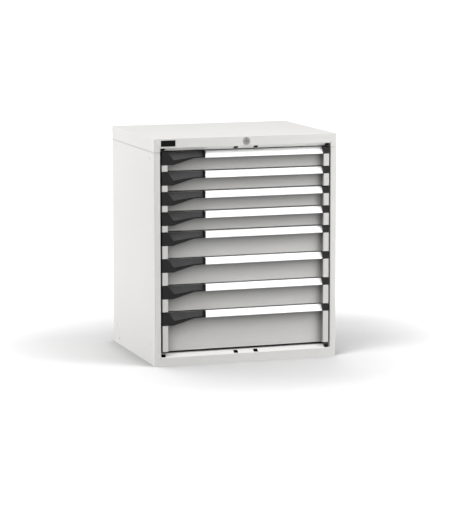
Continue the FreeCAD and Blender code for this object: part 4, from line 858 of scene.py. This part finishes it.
class CABINET_OT_studio(bpy.types.Operator):
    """Lay the floor with painted shade round the cabinet, hang the soft lights and stand the camera"""

    bl_idname = "cabinet.studio"
    bl_label = "Studio"

    def execute(self, context):
        studio = settings().studio
        scene = context.scene
        reach = studio.floor_reach
        mesh = bpy.data.meshes.new("Studio_floor")
        mesh.from_pydata([(-reach, -reach, 0), (reach, -reach, 0), (reach, reach, 0), (-reach, reach, 0)], [],
                         [(0, 1, 2, 3)])
        mesh.materials.append(studio_floor(studio.floor, studio.far_floor))
        floor = bpy.data.objects.new("Studio_floor", mesh)
        scene.collection.objects.link(floor)
        world = bpy.data.worlds.new("Studio sky")
        world.use_nodes = True
        sky = world.node_tree.nodes["Background"]
        sky.inputs["Color"].default_value = (1.0, 1.0, 1.0, 1.0)
        sky.inputs["Strength"].default_value = studio.sky
        scene.world = world
        for name, turn, height, width, strength in DISTANT_LIGHTS:
            distant_light(name, turn, height, width, strength * studio.distant)
        for name, place, aim, size, power in NEAR_LIGHTS:
            area_light(name, place, aim, size, power * studio.near)
        lens = bpy.data.cameras.new("Camera")
        lens.lens = studio.lens
        lens.sensor_width = 36.0
        lens.clip_end = 300.0
        camera = bpy.data.objects.new("Camera", lens)
        camera.matrix_world = (Matrix.Translation(studio.place)
                               @ Matrix.Rotation(-studio.turn, 4, "Z")
                               @ Matrix.Rotation(math.pi / 2 - studio.tilt, 4, "X")
                               @ Matrix.Rotation(studio.roll, 4, "Z"))
        scene.collection.objects.link(camera)
        scene.camera = camera
        scene.view_settings.view_transform = "Standard"
        return {"FINISHED"}


class CABINET_PT_panel(bpy.types.Panel):
    """Shows the cabinet's dressing steps and its settings"""

    bl_idname = "CABINET_PT_panel"
    bl_label = "Drawer cabinet"
    bl_space_type = "VIEW_3D"
    bl_region_type = "UI"
    bl_category = "Cabinet"

    def draw(self, context):
        layout = self.layout
        for operator in OPERATORS:
            layout.operator(operator.bl_idname)
        choice = context.scene.cabinet_settings
        for part in ("colours", "sizes", "age", "studio"):
            box = layout.box()
            box.label(text=part.capitalize())
            owner = getattr(choice, part)
            for name in owner.__annotations__:
                box.prop(owner, name)


OPERATORS = (CABINET_OT_housing, CABINET_OT_rails, CABINET_OT_lock, CABINET_OT_drawers, CABINET_OT_handles,
             CABINET_OT_studio)
CLASSES = (CabinetColours, CabinetSizes, CabinetAge, CabinetStudio, CabinetSettings, *OPERATORS,
           CABINET_PT_panel)


def register():
    """Adds the classes and the scene's settings."""
    for item in CLASSES:
        bpy.utils.register_class(item)
    bpy.types.Scene.cabinet_settings = PointerProperty(type=CabinetSettings)


def unregister():
    """Removes the scene's settings and the classes."""
    del bpy.types.Scene.cabinet_settings
    for item in reversed(CLASSES):
        bpy.utils.unregister_class(item)


def main():
    """Dresses the cabinet piece by piece and sets up the studio."""
    register()
    bpy.ops.cabinet.housing()
    bpy.ops.cabinet.rails()
    bpy.ops.cabinet.lock()
    bpy.ops.cabinet.drawers()
    bpy.ops.cabinet.handles()
    bpy.ops.cabinet.studio()


if __name__ == "__main__":
    main()
